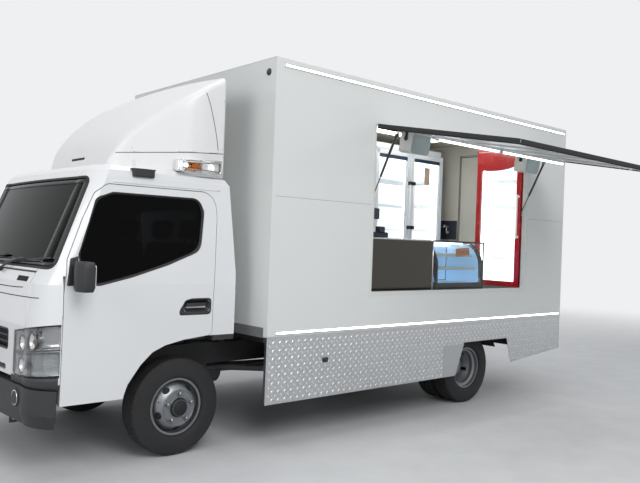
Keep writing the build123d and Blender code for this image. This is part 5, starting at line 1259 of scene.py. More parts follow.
def hatch_parts():
    """Hatch: aluminium edge frame, rubber round its rim, inner ribs, two lamp tubes and catches."""
    x0, x1, middle = OPEN_REAR + 0.008, OPEN_FRONT - 0.008, (OPEN_REAR + OPEN_FRONT) / 2
    z0, z1 = OPEN_LOW + 0.008, OPEN_HIGH - 0.008
    y = SIDE - 0.030
    outline = rectangle(x0 + 0.0005, x1 - 0.0005, z0 + 0.0005, z1 - 0.0005)
    edge = rim_frame(outline, 0.045, "y", y - 0.004, y + 0.001, 0.001)
    on_hatch("hatch_edge_frame", [edge], "trim_aluminium", "hatch_aluminium")
    seal = rim_frame(drawn_in(outline, 0.012), 0.014, "y", y - 0.013, y - 0.003)
    on_hatch("hatch_seal", [seal], "rubber", "black_plastic")
    ribs = [
        brick(x - 0.02, x + 0.02, y - 0.014, y + 0.001, z0 + 0.046, z1 - 0.046)
        for x in np.linspace(x0, x1, 5)[1:4]
    ]
    ribs.append(brick(x0 + 0.044, x1 - 0.044, y - 0.0025, y + 0.001, z0 + 0.044, z1 - 0.044, 0.001, "y"))
    on_hatch("hatch_inner_skin", ribs, "hatch_inside", "hatch_aluminium")
    rim = rectangle(x0 - 0.0015, x1 + 0.0015, z0 - 0.0002, z1 + 0.0015, 0.005)
    rubber = rim_frame(rim, 0.0125, "y", y - 0.0055, SIDE + 0.0003, 0.002)
    on_hatch("hatch_rubber", [rubber], "rubber", "black_plastic")
    holders, tubes = [], []
    a, z = np.linspace(0, math.pi, 12), OPEN_HIGH - 0.475
    for low, high in ((x0 + 0.045, middle - 0.010), (middle + 0.010, x1 - 0.255)):
        holders.append(brick(low, high, y - 0.0275, y, z - 0.026, z + 0.026, 0.004, "x"))
        for end in (low + 0.012, high - 0.012):
            holders.append(brick(end - 0.010, end + 0.010, y - 0.048, y - 0.020, z - 0.020, z + 0.020, 0.005, "x"))
        tubes.append(lofted([
            upright(y - 0.0285 - 0.017 * np.sin(a), z + 0.019 * np.cos(a), x, "x")
            for x in np.linspace(low + 0.02, high - 0.02, 16)
        ]))
    on_hatch("batten_housings", holders, "shelf_white", "led_white", ("hatch_lights",))
    on_hatch("batten_tubes", tubes, "batten", "led_white")
    speakers(x0, x1, y)
    catches, run = [], np.linspace(0, math.pi, 12)
    for x in (x0 + 0.55, x1 - 0.55):
        catches.append(brick(x - 0.05, x + 0.05, y - 0.012, y - 0.003, z0 + 0.014, z0 + 0.060, 0.003, "x"))
        loop = upright(x + 0.034 * np.cos(run), y - 0.012 - 0.016 * np.sin(run), z0 + 0.037, "z")
        catches.append(carried(circle(0.0045, 10), loop))
    on_hatch("hatch_catches", catches, "chrome", "strut_chrome")


def speakers(x0, x1, y):
    """Two loudspeakers on the hatch: round-cornered cases, grilles, and brackets with knobs."""
    boxes, grilles, knobs = [], [], []
    z0, z1, deep = OPEN_HIGH - 0.245, OPEN_HIGH - 0.100, 0.185
    for low in (x0 + 0.120, x1 - 0.465):
        high = low + 0.255
        ring = filleted([(low, y - deep), (high, y - deep), (high, y), (low, y)], [0.04, 0.04, 0.004, 0.004], 8)
        boxes.append(slab(ring, "z", z0, z1, 0.008, True))
        inner = (low + 0.004, high - 0.004, y - deep + 0.004, y - 0.012)
        grilles.append(plate(*inner, 0.037, "z", z0 - 0.0025, z0 + 0.002, 0.0015))
        for end, way in ((low, -1), (high, 1)):
            z = (z0 + z1) / 2
            knob = [(0.0006, 0.014), (0.016, 0.014), (0.019, 0.010), (0.019, 0.0)]
            knobs.append(turned(knob, (end, y - 0.060, z), "x", 24, way))
            path = [(end + way * 0.004, y - back, z) for back in (0.060, 0.030, 0.001)]
            knobs.append(carried(section(0.015, 0.002, 0.0015), path, (1, 0, 0)))
    on_hatch("speaker_cases", boxes, "speaker_white", "speaker_white", ("hatch_speakers",))
    # grilles in grey-teal: painted shade on the white speakers' faces
    on_hatch("speaker_grilles", grilles, "speaker_mesh", "speaker_white")
    on_hatch("speaker_knobs", knobs, *BLACK)


def rear_parts():
    """Entry door: seal, edge, rose of its handle, lock, kick plate; lamps in the rear bar, plate lamp, tail
    markers."""
    y0, y1, x = -0.305, 0.385, BOX_REAR
    seal = rim_frame(rectangle(y0 + 0.004, y1 - 0.004, 0.959, 2.841), 0.010, "x", x + 0.0445, x + 0.0475, 0.001)
    put("entry_seal", seal, "rubber", "black_plastic", "entry_door")
    edge = rim_frame(rectangle(y0 + 0.001, y1 - 0.001, 0.956, 2.844), 0.022, "x", x - 0.0018, x + 0.0002, 0.0006)
    put("entry_edge", edge, "trim_aluminium", "hatch_aluminium", "entry_door")
    lock = [(0.0006, -0.012), (0.010, -0.012), (0.012, -0.009), (0.012, 0.001)]
    metal = [
        plate(0.288, 0.336, 1.880, 2.080, 0.02, "x", x - 0.003, x + 0.0005, 0.001),
        turned(lock, (x, 0.312, 1.840), "x", 20),
        brick(x - 0.0018, x + 0.0003, y0 + 0.03, y1 - 0.03, 0.985, 1.200, 0.0006, "x"),
    ]
    put("entry_fittings", metal, "stainless", "stainless", "entry_door")
    bar_face = x + 0.010
    housings, lenses = [], []
    for side in (1, -1):
        span, x0 = both(side, 0.722, 0.998), bar_face - 0.0095
        housings.append(plate(*span, 0.457, 0.563, 0.012, "x", x0, bar_face + 0.002, 0.003))
        for a in (0.735, 0.820, 0.905):
            span, x0 = both(side, a, a + 0.080), bar_face - 0.0185
            lenses.append(plate(*span, 0.470, 0.550, 0.010, "x", x0, bar_face - 0.008, 0.004, True))
    put("tail_lamp_housings", housings, *BLACK)
    put("tail_lamps_red", lenses[1:3] + lenses[4:], "red_lens", "lamp_lens")
    put("tail_lamps_clear", lenses[::3], "lens", "lamp_lens")
    marker = [(0.0006, -0.010), (0.018, -0.010), (0.026, -0.006), (0.029, 0.0), (0.029, 0.001)]
    eye = [(0.0006, -0.0150), (0.009, -0.0138), (0.0135, -0.0105), (0.014, -0.006)]
    marks = high_lamps(x, marker, 32)
    marks.append(brick(bar_face - 0.030, bar_face - 0.001, -0.045, 0.045, 0.557, 0.572, 0.004, "y"))
    put("rear_markers", marks, *BLACK)
    put("rear_marker_lenses", high_lamps(x, eye, 24), "red_lens", "lamp_lens")


# Inside the box


def linings():
    """Cream sheets on the inner faces of the box, with joint strips, coves, and the entry's casing, inner face and
    handle."""
    whole, wall = (FLOOR, CEILING, 0.001), (INNER - 0.003, INNER)
    rear = (REAR_FACE, REAR_FACE + 0.003)
    sheets = bricks(
        (REAR_FACE, FRONT_FACE, -INNER, -INNER + 0.003, *whole, "y"),
        (FRONT_FACE - 0.003, FRONT_FACE, -INNER + 0.003, INNER - 0.003, *whole, "x"),
        (REAR_FACE, FRONT_FACE, -INNER, INNER, CEILING - 0.002, CEILING, 0.001),
        (OPEN_FRONT + 0.004, FRONT_FACE, *wall, *whole, "y"),
        (REAR_FACE, OPEN_FRONT + 0.004, *wall, OPEN_HIGH + 0.004, CEILING, 0.001, "y"),
        (REAR_FACE, OPEN_REAR - 0.004, *wall, FLOOR, OPEN_HIGH + 0.004, 0.001, "y"),
        (*rear, -INNER + 0.003, -0.314, *whole, "x"),
        (*rear, 0.394, INNER - 0.003, *whole, "x"),
        (*rear, -0.314, 0.394, 2.854, CEILING, 0.001, "x"),
    )
    put("box_linings", sheets, "inner_cream", "white_paint")
    strips = []
    for x in (-1.55, -0.35, 0.45):
        strips += bricks(
            (x - 0.018, x + 0.018, -INNER + 0.002, -INNER + 0.005, FLOOR + 0.06, CEILING - 0.004, 0.001, "y"),
            (x - 0.018, x + 0.018, -INNER + 0.004, INNER - 0.004, CEILING - 0.0045, CEILING - 0.001, 0.001),
        )
    out, down = np.array([(0, 0), (22, 0), (17.6, 4.5), (11.5, 11.5), (4.5, 17.6), (0, 22)]).T * 0.001
    for y, way in ((-INNER + 0.003, 1), (INNER - 0.003, -1)):
        rings = [upright(y + way * out, CEILING - 0.002 - down, x, "x") for x in (rear[1], FRONT_FACE - 0.003)]
        strips.append(lofted(rings, False))
    put("lining_strips", strips, "inner_cream", "white_paint")
    ring = rectangle(-0.3165, 0.3965, 0.952, 2.8565, 0.006)
    gap = rim_frame(ring, 0.006, "x", REAR_FACE + 0.002, REAR_FACE + 0.0045, 0.001)
    put("entry_casing", gap, "seam_dark", "black_plastic")
    face = brick(REAR_FACE - 0.005, REAR_FACE - 0.002, -0.295, 0.375, 0.975, 2.825, 0.001, "x")
    put("entry_inner_face", face, "inner_cream", "white_paint", "entry_door")
    x = REAR_FACE + 0.030
    push = [bar((x, 0.300, 1.880), (x, 0.300, 2.080), 0.010)]
    push += [bar((REAR_FACE - 0.003, 0.300, z), (x, 0.300, z), 0.007) for z in (1.900, 2.060)]
    put("entry_inner_handle", push, "chrome", "stainless", "entry_door")


def wall_tap():
    """Dark panel on the rear wall with a curved tap."""
    panel = plate(-0.660, -0.330, 1.745, 1.995, 0.006, "x", REAR_FACE + 0.0032, REAR_FACE + 0.024, 0.003)
    put("tap_panel", panel, "panel_dark", "cabinet_black")
    run = np.linspace(0, math.pi, 14)
    x, y = REAR_FACE + 0.045, -0.470
    rose = [(0.0006, 0.006), (0.020, 0.005), (0.022, 0.001), (0.022, -0.001)]
    spout = upright(x + 0.030 * (1 - np.cos(run)), y, 1.900 + 0.035 * np.sin(run), "z")
    tap = [
        carried(circle(0.008, 12), spout, (0, 1, 0)),
        bar((x, y, 1.820), (x, y, 1.902), 0.010),
        bar((x - 0.022, y, 1.835), (x + 0.005, y, 1.835), 0.013),
        bar((x, y - 0.035, 1.915), (x, y + 0.035, 1.915), 0.006),
        turned(rose, (x - 0.021, y, 1.835), "x", 28),
    ]
    put("wall_tap", tap, "chrome", "stainless")


def fridge_inside(name, x0, x1, y0, y1, z0, z1, shelves, opens):
    """White liner sheets and price rails at the shelves' heights of an upright fridge that opens along an axis."""
    t, soft = 0.002, 0.0006
    inner = (z0 + t, z1 - t, soft)
    sheets = bricks((x0, x1, y0, y1, z0, z0 + t, soft), (x0, x1, y0, y1, z1 - t, z1, soft))
    if opens == "y":
        sheets += bricks(
            (x0, x1, y0, y0 + t, *inner, "y"), (x0, x0 + t, y0 + t, y1, *inner, "x"),
            (x1 - t, x1, y0 + t, y1, *inner, "x"),
        )
        span, along = (x0 + 0.004, x1 - 0.004, y1 - 0.060, y1 - 0.054), "x"
    else:
        sheets += bricks(
            (x0, x0 + t, y0, y1, *inner, "x"), (x0 + t, x1, y0, y0 + t, *inner, "y"),
            (x0 + t, x1, y1 - t, y1, *inner, "y"),
        )
        span, along = (x1 - 0.060, x1 - 0.054, y0 + 0.004, y1 - 0.004), "y"
    rails = [brick(*span, z - 0.008, z + 0.026, 0.0015, along) for z in shelves]
    # liner sheets and rails in a glowing finish: painted light from the fridge's tubes
    put(name + "_liner", sheets, "fridge_inside", "led_white")
    put(name + "_rails", rails, "fridge_inside", "led_white")


def glass_fridge_parts():
    """Two-door fridge: liner, tubes, centre post, header, louvred base; each leaf gets frame, glass, gasket, pull."""
    x0, x1, y = FRONT - 4.720, FRONT - 3.440, -0.500
    middle = (x0 + x1) / 2
    shelves = [1.21 + 1.57 * k / 5 for k in (1, 2, 3, 4)]
    fridge_inside("glass_fridge", x0 + 0.0405, x1 - 0.0405, -1.0885, y - 0.001, 1.2105, 2.7795, shelves, "y")
    post = brick(middle - 0.034, middle + 0.034, y - 0.030, y - 0.001, 1.213, 2.777, 0.004)
    # the centre post glows a little: painted light
    put("fridge_post", post, "fridge_light", "fridge_grey")
    spots = (x0 + 0.062, middle - 0.024, middle + 0.024, x1 - 0.062)
    tubes = [bar((x, y - 0.045, 1.30), (x, y - 0.045, 2.72), 0.011, 14) for x in spots]
    put("fridge_tubes", tubes, "cool_tube", "led_white")
    slats = [
        brick(x0 + 0.03, x1 - 0.03, y - 0.001, y + 0.008, z, z + 0.009, 0.002, "x")
        for z in 0.975 + 0.018 * np.arange(9)
    ]
    put("fridge_louvres", slats, "black_plastic", "cabinet_black")
    head = brick(x0 + 0.004, x1 - 0.004, y - 0.001, y + 0.004, 2.834, 2.894, 0.002, "y")
    # the header glows a little: painted light
    put("fridge_header", head, "fridge_light", "fridge_grey")
    edges = [brick(x, x + 0.022, y - 0.001, y + 0.0035, 0.955, 2.895, 0.001) for x in (x0, x1 - 0.022)]
    put("fridge_edges", edges, "trim_aluminium", "fridge_grey")
    fridge_leaf("rear", x0 + 0.002, middle - 0.004, middle - 0.034, x0 + 0.010)
    fridge_leaf("front", middle + 0.004, x1 - 0.002, middle + 0.034, x1 - 0.010)
    paper = slab(rectangle(-2.742, -2.640, 2.440, 2.660, 0.002), "y", -0.4688, -0.4676, 0.0002)
    put("fridge_notice", paper, "notice_beige", "led_white", "fridge_leaf_rear")


def fridge_leaf(word, a, b, grip, pin):
    """One leaf from a to b, its pull at grip and its hinge cap at pin."""
    node, body, low, high, y0, y1 = f"fridge_door_{word}", f"fridge_leaf_{word}", 1.150, 2.820, -0.495, -0.455

    def outline(inward):
        return rectangle(a + inward, b - inward, low + inward, high - inward)

    frame_part = rim_frame(outline(0.0), 0.060, "y", y0, y1, 0.004)
    # the leaf's frame glows a little: painted light
    put(node + "_frame", frame_part, "fridge_light", "fridge_grey", body, (node,))
    put(node + "_glass", slab(outline(0.054), "y", y0 + 0.014, y0 + 0.026, 0.001), "glass", "glass_clear", body)
    gasket = rim_frame(outline(0.012), 0.014, "y", y0 - 0.0042, y0 + 0.0005, 0.0014)
    put(node + "_gasket", gasket, "rubber", "cabinet_black", body)
    ring = rectangle(a + 0.0605, b - 0.0605, high - 0.105, high - 0.0605, 0.003)
    put(node + "_strip", slab(ring, "y", y0 + 0.028, y0 + 0.034, 0.001), "strip_blue", "cabinet_black", body)
    y = y1 + 0.030
    pull = [bar((grip, y, 1.862), (grip, y, 2.438), 0.012, 18)]
    pull += [bar((grip, y1 - 0.001, z), (grip, y, z), 0.007) for z in (1.95, 2.35)]
    ends = [
        brick(grip - 0.016, grip + 0.016, y1 - 0.001, y1 + 0.046, z - 0.022, z + 0.022, 0.004, "y")
        for z in (1.870, 2.430)
    ]
    cap = [(0.0005, 0.004), (0.010, 0.003), (0.011, 0.0), (0.011, -0.0005)]
    ends.append(turned(cap, (pin, y1 - 0.015, high + 0.0005), "z", 20))
    # the pull glows a little: painted light
    put(node + "_pull", pull, "grip_grey", "fridge_grey", body)
    put(node + "_pull_ends", ends, "black_plastic", "cabinet_black", body)


def four_sides(a0, a1, b0, b1, top=lambda s: 0 * s):
    """Closed outline of twenty points a side; top(s) lifts the upper side at share s along it, from a1 to a0."""
    s = np.arange(20) / 20
    right, left = b1 + top(0.0), b1 + top(1.0)
    return np.concatenate([
        np.stack(np.broadcast_arrays(a, b), 1) for a, b in (
            (a0 + (a1 - a0) * s, b0), (a1, b0 + (right - b0) * s), (a1 + (a0 - a1) * s, b1 + top(s)),
            (a0, left + (b0 - left) * s),
        )
    ])


def drinks_fridge_parts():
    """Red-framed fridge: the header's lower edge sags and then rises towards its left end."""
    x = FRONT - 4.300
    x0, x1 = x + 0.005, x + 0.045
    y0, y1, z0, z1 = 0.436, 1.046, 1.210, 2.800
    shelves = [1.21 + 1.55 * k / 5 for k in (1, 2, 3, 4)]
    fridge_inside("drinks_fridge", x - 0.562, x - 0.001, 0.4705, 1.0115, 1.2105, 2.7595, shelves, "x")
    tubes = [bar((x - 0.030, y, 1.28), (x - 0.030, y, 2.56), 0.011, 14) for y in (0.494, 0.988)]
    put("drinks_tubes", tubes, "cool_tube", "led_white")
    outer = four_sides(y0, y1, z0, z1)
    inner = four_sides(
        y0 + 0.062, y1 - 0.062, z0 + 0.060, 2.560, lambda s: 0.040 * (1 - s) ** 3 - 0.014 * np.sin(math.pi * s)
    )
    low, high = x0 + 0.003, x1 - 0.003
    steps = ((0, low), (0, high), (0.04, x1), (0.96, x1), (1, high), (1, low), (0.96, x0), (0.04, x0))
    rings = [upright(*(outer * (1 - k) + inner * k).T, h, "x") for k, h in steps]
    red = lofted(np.stack(rings, 1), False, True)
    put("drinks_door_frame", red, "fridge_red", "fridge_red", "drinks_leaf", ("drinks_fridge_door",))
    pane = slab(rectangle(y0 + 0.056, y1 - 0.056, z0 + 0.054, 2.600), "x", x0 + 0.012, x0 + 0.022, 0.001)
    put("drinks_door_glass", pane, "glass", "glass_clear", "drinks_leaf")
    ring = rectangle(y0 + 0.012, y1 - 0.012, z0 + 0.012, z1 - 0.012)
    gasket = rim_frame(ring, 0.014, "x", x0 - 0.0042, x0 + 0.0005, 0.0014)
    put("drinks_door_gasket", gasket, "rubber", "cabinet_black", "drinks_leaf")
    y, rose = 1.016, [(0.0005, 0.003), (0.013, 0.003), (0.015, 0.0), (0.015, -0.0005)]
    grip = [bar((x1 + 0.030, y, 1.760), (x1 + 0.030, y, 2.260), 0.010, 18)]
    for z in (1.780, 2.240):
        grip += [bar((x1 - 0.001, y, z), (x1 + 0.030, y, z), 0.007), turned(rose, (x1, y, z), "x", 20)]
    # the pull glows a little: painted light
    put("drinks_door_pull", grip, "grip_grey", "fridge_grey", "drinks_leaf")
    stripe = slab(rectangle(y0 + 0.020, y1 - 0.020, 2.770, 2.779, 0.002), "x", x1 - 0.0005, x1 + 0.0012, 0.0004)
    put("drinks_door_stripe", stripe, "shelf_white", "fridge_grey", "drinks_leaf")
    slats = [brick(x - 0.001, x + 0.007, 0.475, 1.007, z, z + 0.010, 0.002, "y") for z in 0.985 + 0.022 * np.arange(8)]
    put("drinks_louvres", slats, "black_plastic", "cabinet_black")
    roof = brick(x - 0.600, x + 0.0015, 0.434, 1.048, 2.8795, 2.8860, 0.002)
    put("top", roof, "fridge_silver", "fridge_grey")


def cabinet_curve(inset):
    """Upper outline of the cabinet's side, from its front foot over the bowed glass to the back, in (y, z)."""
    front, back, high = 1.000 - inset, 0.500 + inset, 1.700 - inset
    a, b, c = np.array([front, 1.380]), np.array([0.940, 1.610]) - inset * 0.7, np.array([0.760, high])
    t = np.linspace(0, 1, 28)[:, None]
    handle = 2 * b - (a + c) / 2
    bend = a * (1 - t) ** 2 + handle * 2 * t * (1 - t) + c * t ** 2
    return np.concatenate([[[front, 1.252]], bend, [[back, high]]])


def cabinet_parts():
    """Display cabinet: dark curved edges, lamp tubes, shelf rails and dishes, glasses, tag, and a back that glows blue
    as painted light.
    """
    x0, x1 = FRONT - 3.632, FRONT - 2.870
    middle = (x0 + x1) / 2
    side = np.concatenate([cabinet_curve(-0.003), cabinet_curve(0.020)[::-1]])
    black = [slab(side, "x", low, low + 0.016, 0.0015) for low in (x0 - 0.002, x1 - 0.014)]
    black += bricks(
        (x0 - 0.002, x1 + 0.002, 0.985, 1.004, 1.204, 1.272, 0.003, "x"),
        (x0 - 0.002, x1 + 0.002, 0.742, 0.770, 1.690, 1.704, 0.003, "x"),
    )
    foot = [(0.0005, 0.001), (0.018, 0.0), (0.020, 0.004), (0.020, 0.0095)]
    black += [turned(foot, (x, y, COUNTER + 0.0005), "z", 20) for x in (x0 + 0.06, x1 - 0.06) for y in (0.55, 0.95)]
    put("cabinet_edges", black, "black_plastic", "cabinet_black")
    rails = bricks(
        (x0 + 0.014, x1 - 0.014, 0.929, 0.936, 1.396, 1.428, 0.0015, "x"),
        (x0 + 0.014, x1 - 0.014, 0.879, 0.886, 1.536, 1.568, 0.0015, "x"),
        (x0 + 0.014, x1 - 0.014, 0.525, 0.980, 1.252, 1.262, 0.002),
    )
    put("cabinet_rails", rails, "shelf_white", "fridge_grey")
    tubes = [bar((x0 + 0.02, y, z), (x1 - 0.02, y, z), 0.009, 14) for y, z in ((0.735, 1.678), (0.535, 1.660))]
    put("cabinet_tubes", tubes, "cool_tube", "led_white")
    glasses = [
        slab(rectangle(low, high, 1.272, 1.682), "y", y, y + 0.005, 0.001)
        for low, high, y in ((x0 + 0.013, middle + 0.02, 0.505), (middle - 0.02, x1 - 0.013, 0.512))
    ]
    cheek = np.concatenate([cabinet_curve(0.024), [[0.524, 1.262]]])
    glasses += [slab(cheek, "x", x, x + 0.005, 0.001) for x in (x0 + 0.018, x1 - 0.023)]
    put("cabinet_glasses", glasses, "blue_tint", "glass_clear")
    tag = np.array([(-1.790, 1.556), (-1.560, 1.536), (-1.545, 1.622), (-1.775, 1.640)])
    put("cabinet_tag", slab(tag, "y", 0.915, 0.918, 0.0006), "orange_card", "fridge_red")
    dish = [(0.0005, 0.0), (0.022, 0.0), (0.031, 0.012), (0.029, 0.013), (0.020, 0.003), (0.0005, 0.003)]
    dishes = [
        turned(dish, (x0 + 0.09 + 0.073 * k, y, z), "z", 18)
        for k in range(9) for y, z in ((0.80, 1.415), (0.75, 1.555), (0.84, 1.264))
    ]
    put("cabinet_dishes", dishes, "shelf_white", "fridge_grey")
    end = np.concatenate([cabinet_curve(0.034), [[0.534, 1.266]]])
    glow = [slab(end, "x", x0 + 0.024, x0 + 0.027, 0.0006)] + bricks(
        (x0 + 0.024, x1 - 0.024, 0.519, 0.522, 1.274, 1.676, 0.0006, "x"),
        (x0 + 0.02, x1 - 0.02, 0.526, 0.975, 1.2625, 1.2650, 0.0006, "x"),
    )
    # back sheets glowing blue: painted light
    put("cabinet_glow", glow, "cabinet_glow", "led_white")


def counter_parts():
    """Hemmed guard with its feet, rail and pane; till with two screens; slanted tablet by the front jamb."""
    y = INNER - 0.129 + 0.0015
    a, b, x0 = FRONT - 2.800, FRONT - 1.790, FRONT - 3.645
    hem = [bar((a + 0.001, y, 1.6955), (b - 0.001, y, 1.6955), 0.006, 14)]
    hem += [bar((x, y, COUNTER + 0.003), (x, y, 1.694), 0.005, 12) for x in (a, b)]
    for x in (a + 0.12, (a + b) / 2, b - 0.12):
        hem += bricks(
            (x - 0.03, x + 0.03, y - 0.050, y - 0.001, COUNTER + 0.0002, COUNTER + 0.0035, 0.001),
            (x - 0.03, x + 0.03, y - 0.0045, y - 0.0012, COUNTER + 0.0002, COUNTER + 0.050, 0.001),
        )
    hem.append(brick(FRONT - 3.700, FRONT - 1.770, 0.5585, 0.5605, 1.150, 1.1995, 0.0008, "x"))
    put("guard_hem", hem, "chrome", "stainless")
    sheet = brick(a + 0.006, b - 0.006, y + 0.0012, y + 0.0022, COUNTER + 0.004, 1.688, 0.0004, "y")
    # the stainless sheet is coloured dark: painted reflection
    put("guard_sheet", sheet, "guard_steel", "stainless")
    rail = bricks(
        (x0, a + 0.002, 0.992, 1.010, 1.6835, 1.7015, 0.003, "x"),
        (x0, x0 + 0.010, 0.994, 1.008, COUNTER + 0.0005, 1.686, 0.002),
    )
    put("guard_rail", rail, "black_plastic", "cabinet_black")
    pane = slab(rectangle(x0 + 0.010, a - 0.002, COUNTER + 0.002, 1.684, 0.002), "y", 1.0085, 1.0115, 0.0006)
    put("guard_pane", pane, "glass", "glass_clear")
    till = [
        brick(-0.640, -0.300, 0.640, 0.960, COUNTER + 0.003, 1.300, 0.010),
        brick(-0.500, -0.440, 0.780, 0.830, 1.299, 1.560, 0.010),
        plate(-0.610, -0.330, 1.530, 1.757, 0.012, "y", 0.800, 0.822, 0.006),
        brick(-0.545, -0.465, 0.780, 0.840, 1.750, 1.812, 0.008),
        plate(-0.245, -0.155, 1.868, 1.968, 0.008, "y", 1.030, 1.042, 0.003),
        bar((-0.033, 1.060, 1.915), (-0.195, 1.036, 1.915), 0.008),
    ]
    put("till", till, "till_navy", "cabinet_black")
    screens = [
        plate(-0.598, -0.342, 1.545, 1.745, 0.006, "y", 0.798, 0.8004, 0.0006),
        plate(-0.535, -0.475, 1.760, 1.800, 0.004, "y", 0.8395, 0.8415, 0.0006),
        plate(-0.238, -0.162, 1.876, 1.960, 0.005, "y", 1.0415, 1.0432, 0.0004),
    ]
    put("till_screens", screens, "screen_black", "cabinet_black")


# Cab inside


def cushion(name, centre, half, along=(1, 0, 0), out=(0, 0, 1), channels=()):
    """Stuffed pad over (latitude p, longitude t): a = bent(cos p) bent(cos t), b = bent(cos p) bent(sin t),
    c = bent(sin p), each a power of its cosine or sine; sides pull in by 4% between the corners and each channel
    dips 9 mm."""
    def bent(value, power):
        return np.sign(value) * np.abs(value) ** power

    p = np.linspace(-math.pi / 2 + 0.02, math.pi / 2 - 0.02, 49)[:, None]
    t = around(144)
    a = bent(np.cos(p), 0.35) * bent(np.cos(t), 0.30)
    b = bent(np.cos(p), 0.35) * bent(np.sin(t), 0.30)
    c = bent(np.sin(p), 0.70) + 0 * t
    a, b = a * (0.96 + 0.04 * b ** 2), b * (0.96 + 0.04 * a ** 2)
    for spot in channels:
        dip = np.exp(-((b - spot) * half[1] / 0.007) ** 2) * (np.abs(a) < 0.86)
        c = c * (1 - 0.009 / half[2] * dip)
    c = c * (1 - 0.10 * (a ** 2 + b ** 2) / 2)
    grid = np.stack([a, b, c], -1) * half @ np.array([along, (0, 1, 0), out], float) + centre
    return joined(name, [lofted(grid)])


def seats():
    """Driver's seat and double bench: padded cushions, backs and head rests on dark bases."""
    lean = math.radians(8.3)
    up, ahead = (-math.sin(lean), 0, math.cos(lean)), (math.cos(lean), 0, math.sin(lean))
    bases, first = [], ("seats",)
    for word, y, wide, heads, lines in (
        ("driver", -0.500, 0.296, (-0.500,), (-0.5, 0.5)),
        ("bench", 0.340, 0.456, (0.110, 0.570), (-0.7, -0.3, 0.0, 0.3, 0.7)),
    ):
        bases.append(brick(FRONT - 0.225, FRONT + 0.245, y - wide + 0.03, y + wide - 0.03, 0.900, 1.020, 0.02, "x"))
        pads = [
            cushion(f"{word}_cushion", (FRONT + 0.018, y, 1.078), (0.268, wide, 0.062), channels=lines),
            cushion(f"{word}_back", (FRONT - 0.208, y, 1.345), (0.250, wide, 0.058), up, ahead, lines),
        ]
        for k, head in enumerate(heads):
            at = (FRONT - 0.262, head, 1.695)
            pads.append(cushion(f"{word}_head_rest_{k}", at, (0.078, 0.135, 0.046), up, ahead))
            for stay in (head - 0.05, head + 0.05):
                bases.append(bar((FRONT - 0.240, stay, 1.560), (FRONT - 0.256, stay, 1.650), 0.006, 12))
        for pad in pads:
            place(pad, "seat_cloth", "seat_cloth", "cab", first)
            first = ()
    put("seat_bases", bases, *BLACK, "cab")


# Camera, light and floor

SKY_COLOUR = (0.86, 0.87, 0.88, 1)


def set_by_axes(thing, right, up, back, at):
    """Give a camera or a lamp its axes and its place, and put it in the scene."""
    turn = np.eye(4)
    turn[:3] = np.stack([right, up, back, at], 1)
    thing.matrix_world = Matrix(turn.tolist())
    bpy.context.collection.objects.link(thing)


def camera():
    """Eye at the photograph's place: forward from its two angles, then rolled about that line."""
    yaw, pitch, roll = -2.2963, 0.0025, 0.0367
    focus, photo_width = 709.7, 640
    ahead = np.array([math.cos(yaw) * math.cos(pitch), math.sin(yaw) * math.cos(pitch), math.sin(pitch)])
    right = np.array([math.sin(yaw), -math.cos(yaw), 0.0])
    up = np.cross(right, ahead)
    data = bpy.data.cameras.new("eye")
    data.sensor_fit, data.sensor_width, data.clip_end = "HORIZONTAL", 36.0, 200.0
    data.lens = focus / photo_width * data.sensor_width
    eye = bpy.data.objects.new("eye", data)
    across, over = (math.cos(roll) * a + math.sin(roll) * b for a, b in ((right, up), (up, -right)))
    set_by_axes(eye, across, over, -ahead, (4.4807, 5.5607, 1.6275))
    bpy.context.scene.camera = eye


def area_light(name, at, to, size, watts):
    data = bpy.data.lights.new(name, "AREA")
    data.energy, data.size = watts, size
    back = np.array(at, float) - to
    back /= np.linalg.norm(back)
    side = np.cross((0, 0, 1), back)
    side /= np.linalg.norm(side)
    set_by_axes(bpy.data.objects.new(name, data), side, np.cross(back, side), back, at)


def direct_rays(tree):
    """One for camera, glossy and transmission rays, nought for the others."""
    rays = tree.nodes.new("ShaderNodeLightPath").outputs
    found = reckoned(tree, "MAXIMUM", rays["Is Camera Ray"], rays["Is Glossy Ray"])
    return reckoned(tree, "MAXIMUM", found, rays["Is Transmission Ray"])


def mixed_shader(tree, share, first, second):
    """Output of a Mix Shader node."""
    mix = new_node(tree, "MixShader", Fac=share)
    tree.links.new(first, mix.inputs[1])
    tree.links.new(second, mix.inputs[2])
    return mix.outputs[0]


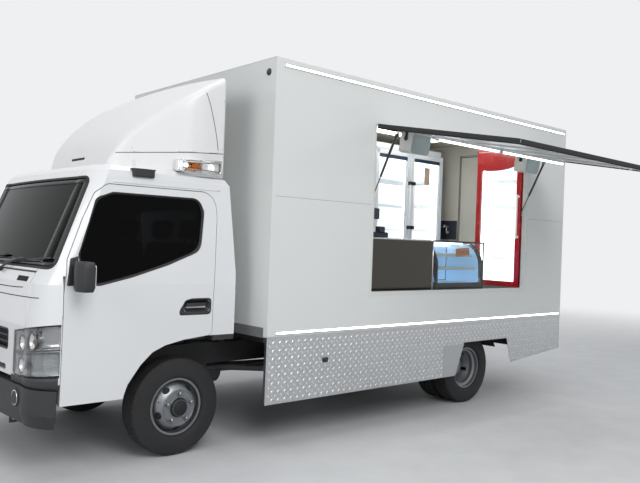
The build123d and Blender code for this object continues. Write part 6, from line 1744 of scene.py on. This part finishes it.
def studio():
    """Pale surroundings, stronger where they are seen directly than as light, and four soft lamps."""
    world = bpy.data.worlds.new("studio")
    bpy.context.scene.world = world
    world.use_nodes = True
    tree = world.node_tree
    light = wired(tree, tree.nodes["Background"], Color=(0.80, 0.83, 0.87, 1), Strength=0.36)
    seen = new_node(tree, "Background", Color=SKY_COLOUR, Strength=1.0)
    mix = mixed_shader(tree, direct_rays(tree), light.outputs[0], seen.outputs[0])
    wired(tree, tree.nodes["World Output"], Surface=mix)
    area_light("key", (3.5, 9.0, 7.5), (0.0, 0.5, 1.4), 6.0, 520)
    area_light("front_fill", (10.0, 2.5, 4.5), (1.5, 0.0, 1.3), 5.0, 230)
    area_light("top", (0.0, 0.0, 9.5), (0.0, 0.01, 1.0), 7.0, 230)
    area_light("back_fill", (-9.0, -6.0, 5.0), (-1.0, 0.0, 1.5), 6.0, 170)


def ground():
    """Pale floor 1 mm below the wheels: a level disc out to 60 m that fades into the surroundings."""
    steps, sides = 12, 48
    t, j = around(sides), np.arange(sides)
    inner, outer, fade_from, fade_to = 5.0, 60.0, 6.5, 17.0
    radius = np.linspace(inner, outer, steps)[:, None]
    rings = upright(radius * np.cos(t), radius * np.sin(t), -0.001, "z").reshape(-1, 3)
    faces = [face[::-1] for face in grid_faces(steps, sides, wrap_columns=True)]
    faces += np.stack([np.full(sides, len(rings)), j, (j + 1) % sides], 1).tolist()
    floor = mesh_piece("ground", np.concatenate([rings, [[0, 0, -0.001]]]), faces, False)
    finish, tree, shader, where = new_finish("ground")
    speck = ramp(tree, mottle(tree, where, 3.0, 8), [(0.3, (0.62, 0.63, 0.64)), (0.7, (0.68, 0.69, 0.70))])
    wired(tree, shader, Base_Color=speck, Roughness=0.7)
    far = tree.nodes.new("ShaderNodeVectorMath")
    far.operation = "LENGTH"
    tree.links.new(where, far.inputs[0])
    fade = new_node(tree, "MapRange", Value=far.outputs["Value"], From_Min=fade_from, From_Max=fade_to)
    fade.interpolation_type = "SMOOTHSTEP"
    share = reckoned(tree, "MULTIPLY", fade.outputs["Result"], direct_rays(tree))
    haze = new_node(tree, "Emission", Color=SKY_COLOUR)
    mix = mixed_shader(tree, share, shader.outputs[0], haze.outputs[0])
    wired(tree, next(node for node in tree.nodes if node.type == "OUTPUT_MATERIAL"), Surface=mix)
    floor.data.materials.append(finish)


for build in (
    wheels, lozenges, skirt_fittings, window_seals, screen_parts, door_handles, mirrors, headlamps, roof_lamps,
    fairing_details, front_details, bumper_details, box_trims, box_lamps, hatch_parts, rear_parts, linings,
    wall_tap, glass_fridge_parts, drinks_fridge_parts, cabinet_parts, counter_parts, seats, camera, studio, ground,
):
    build()
bpy.context.scene.view_settings.view_transform = "Standard"
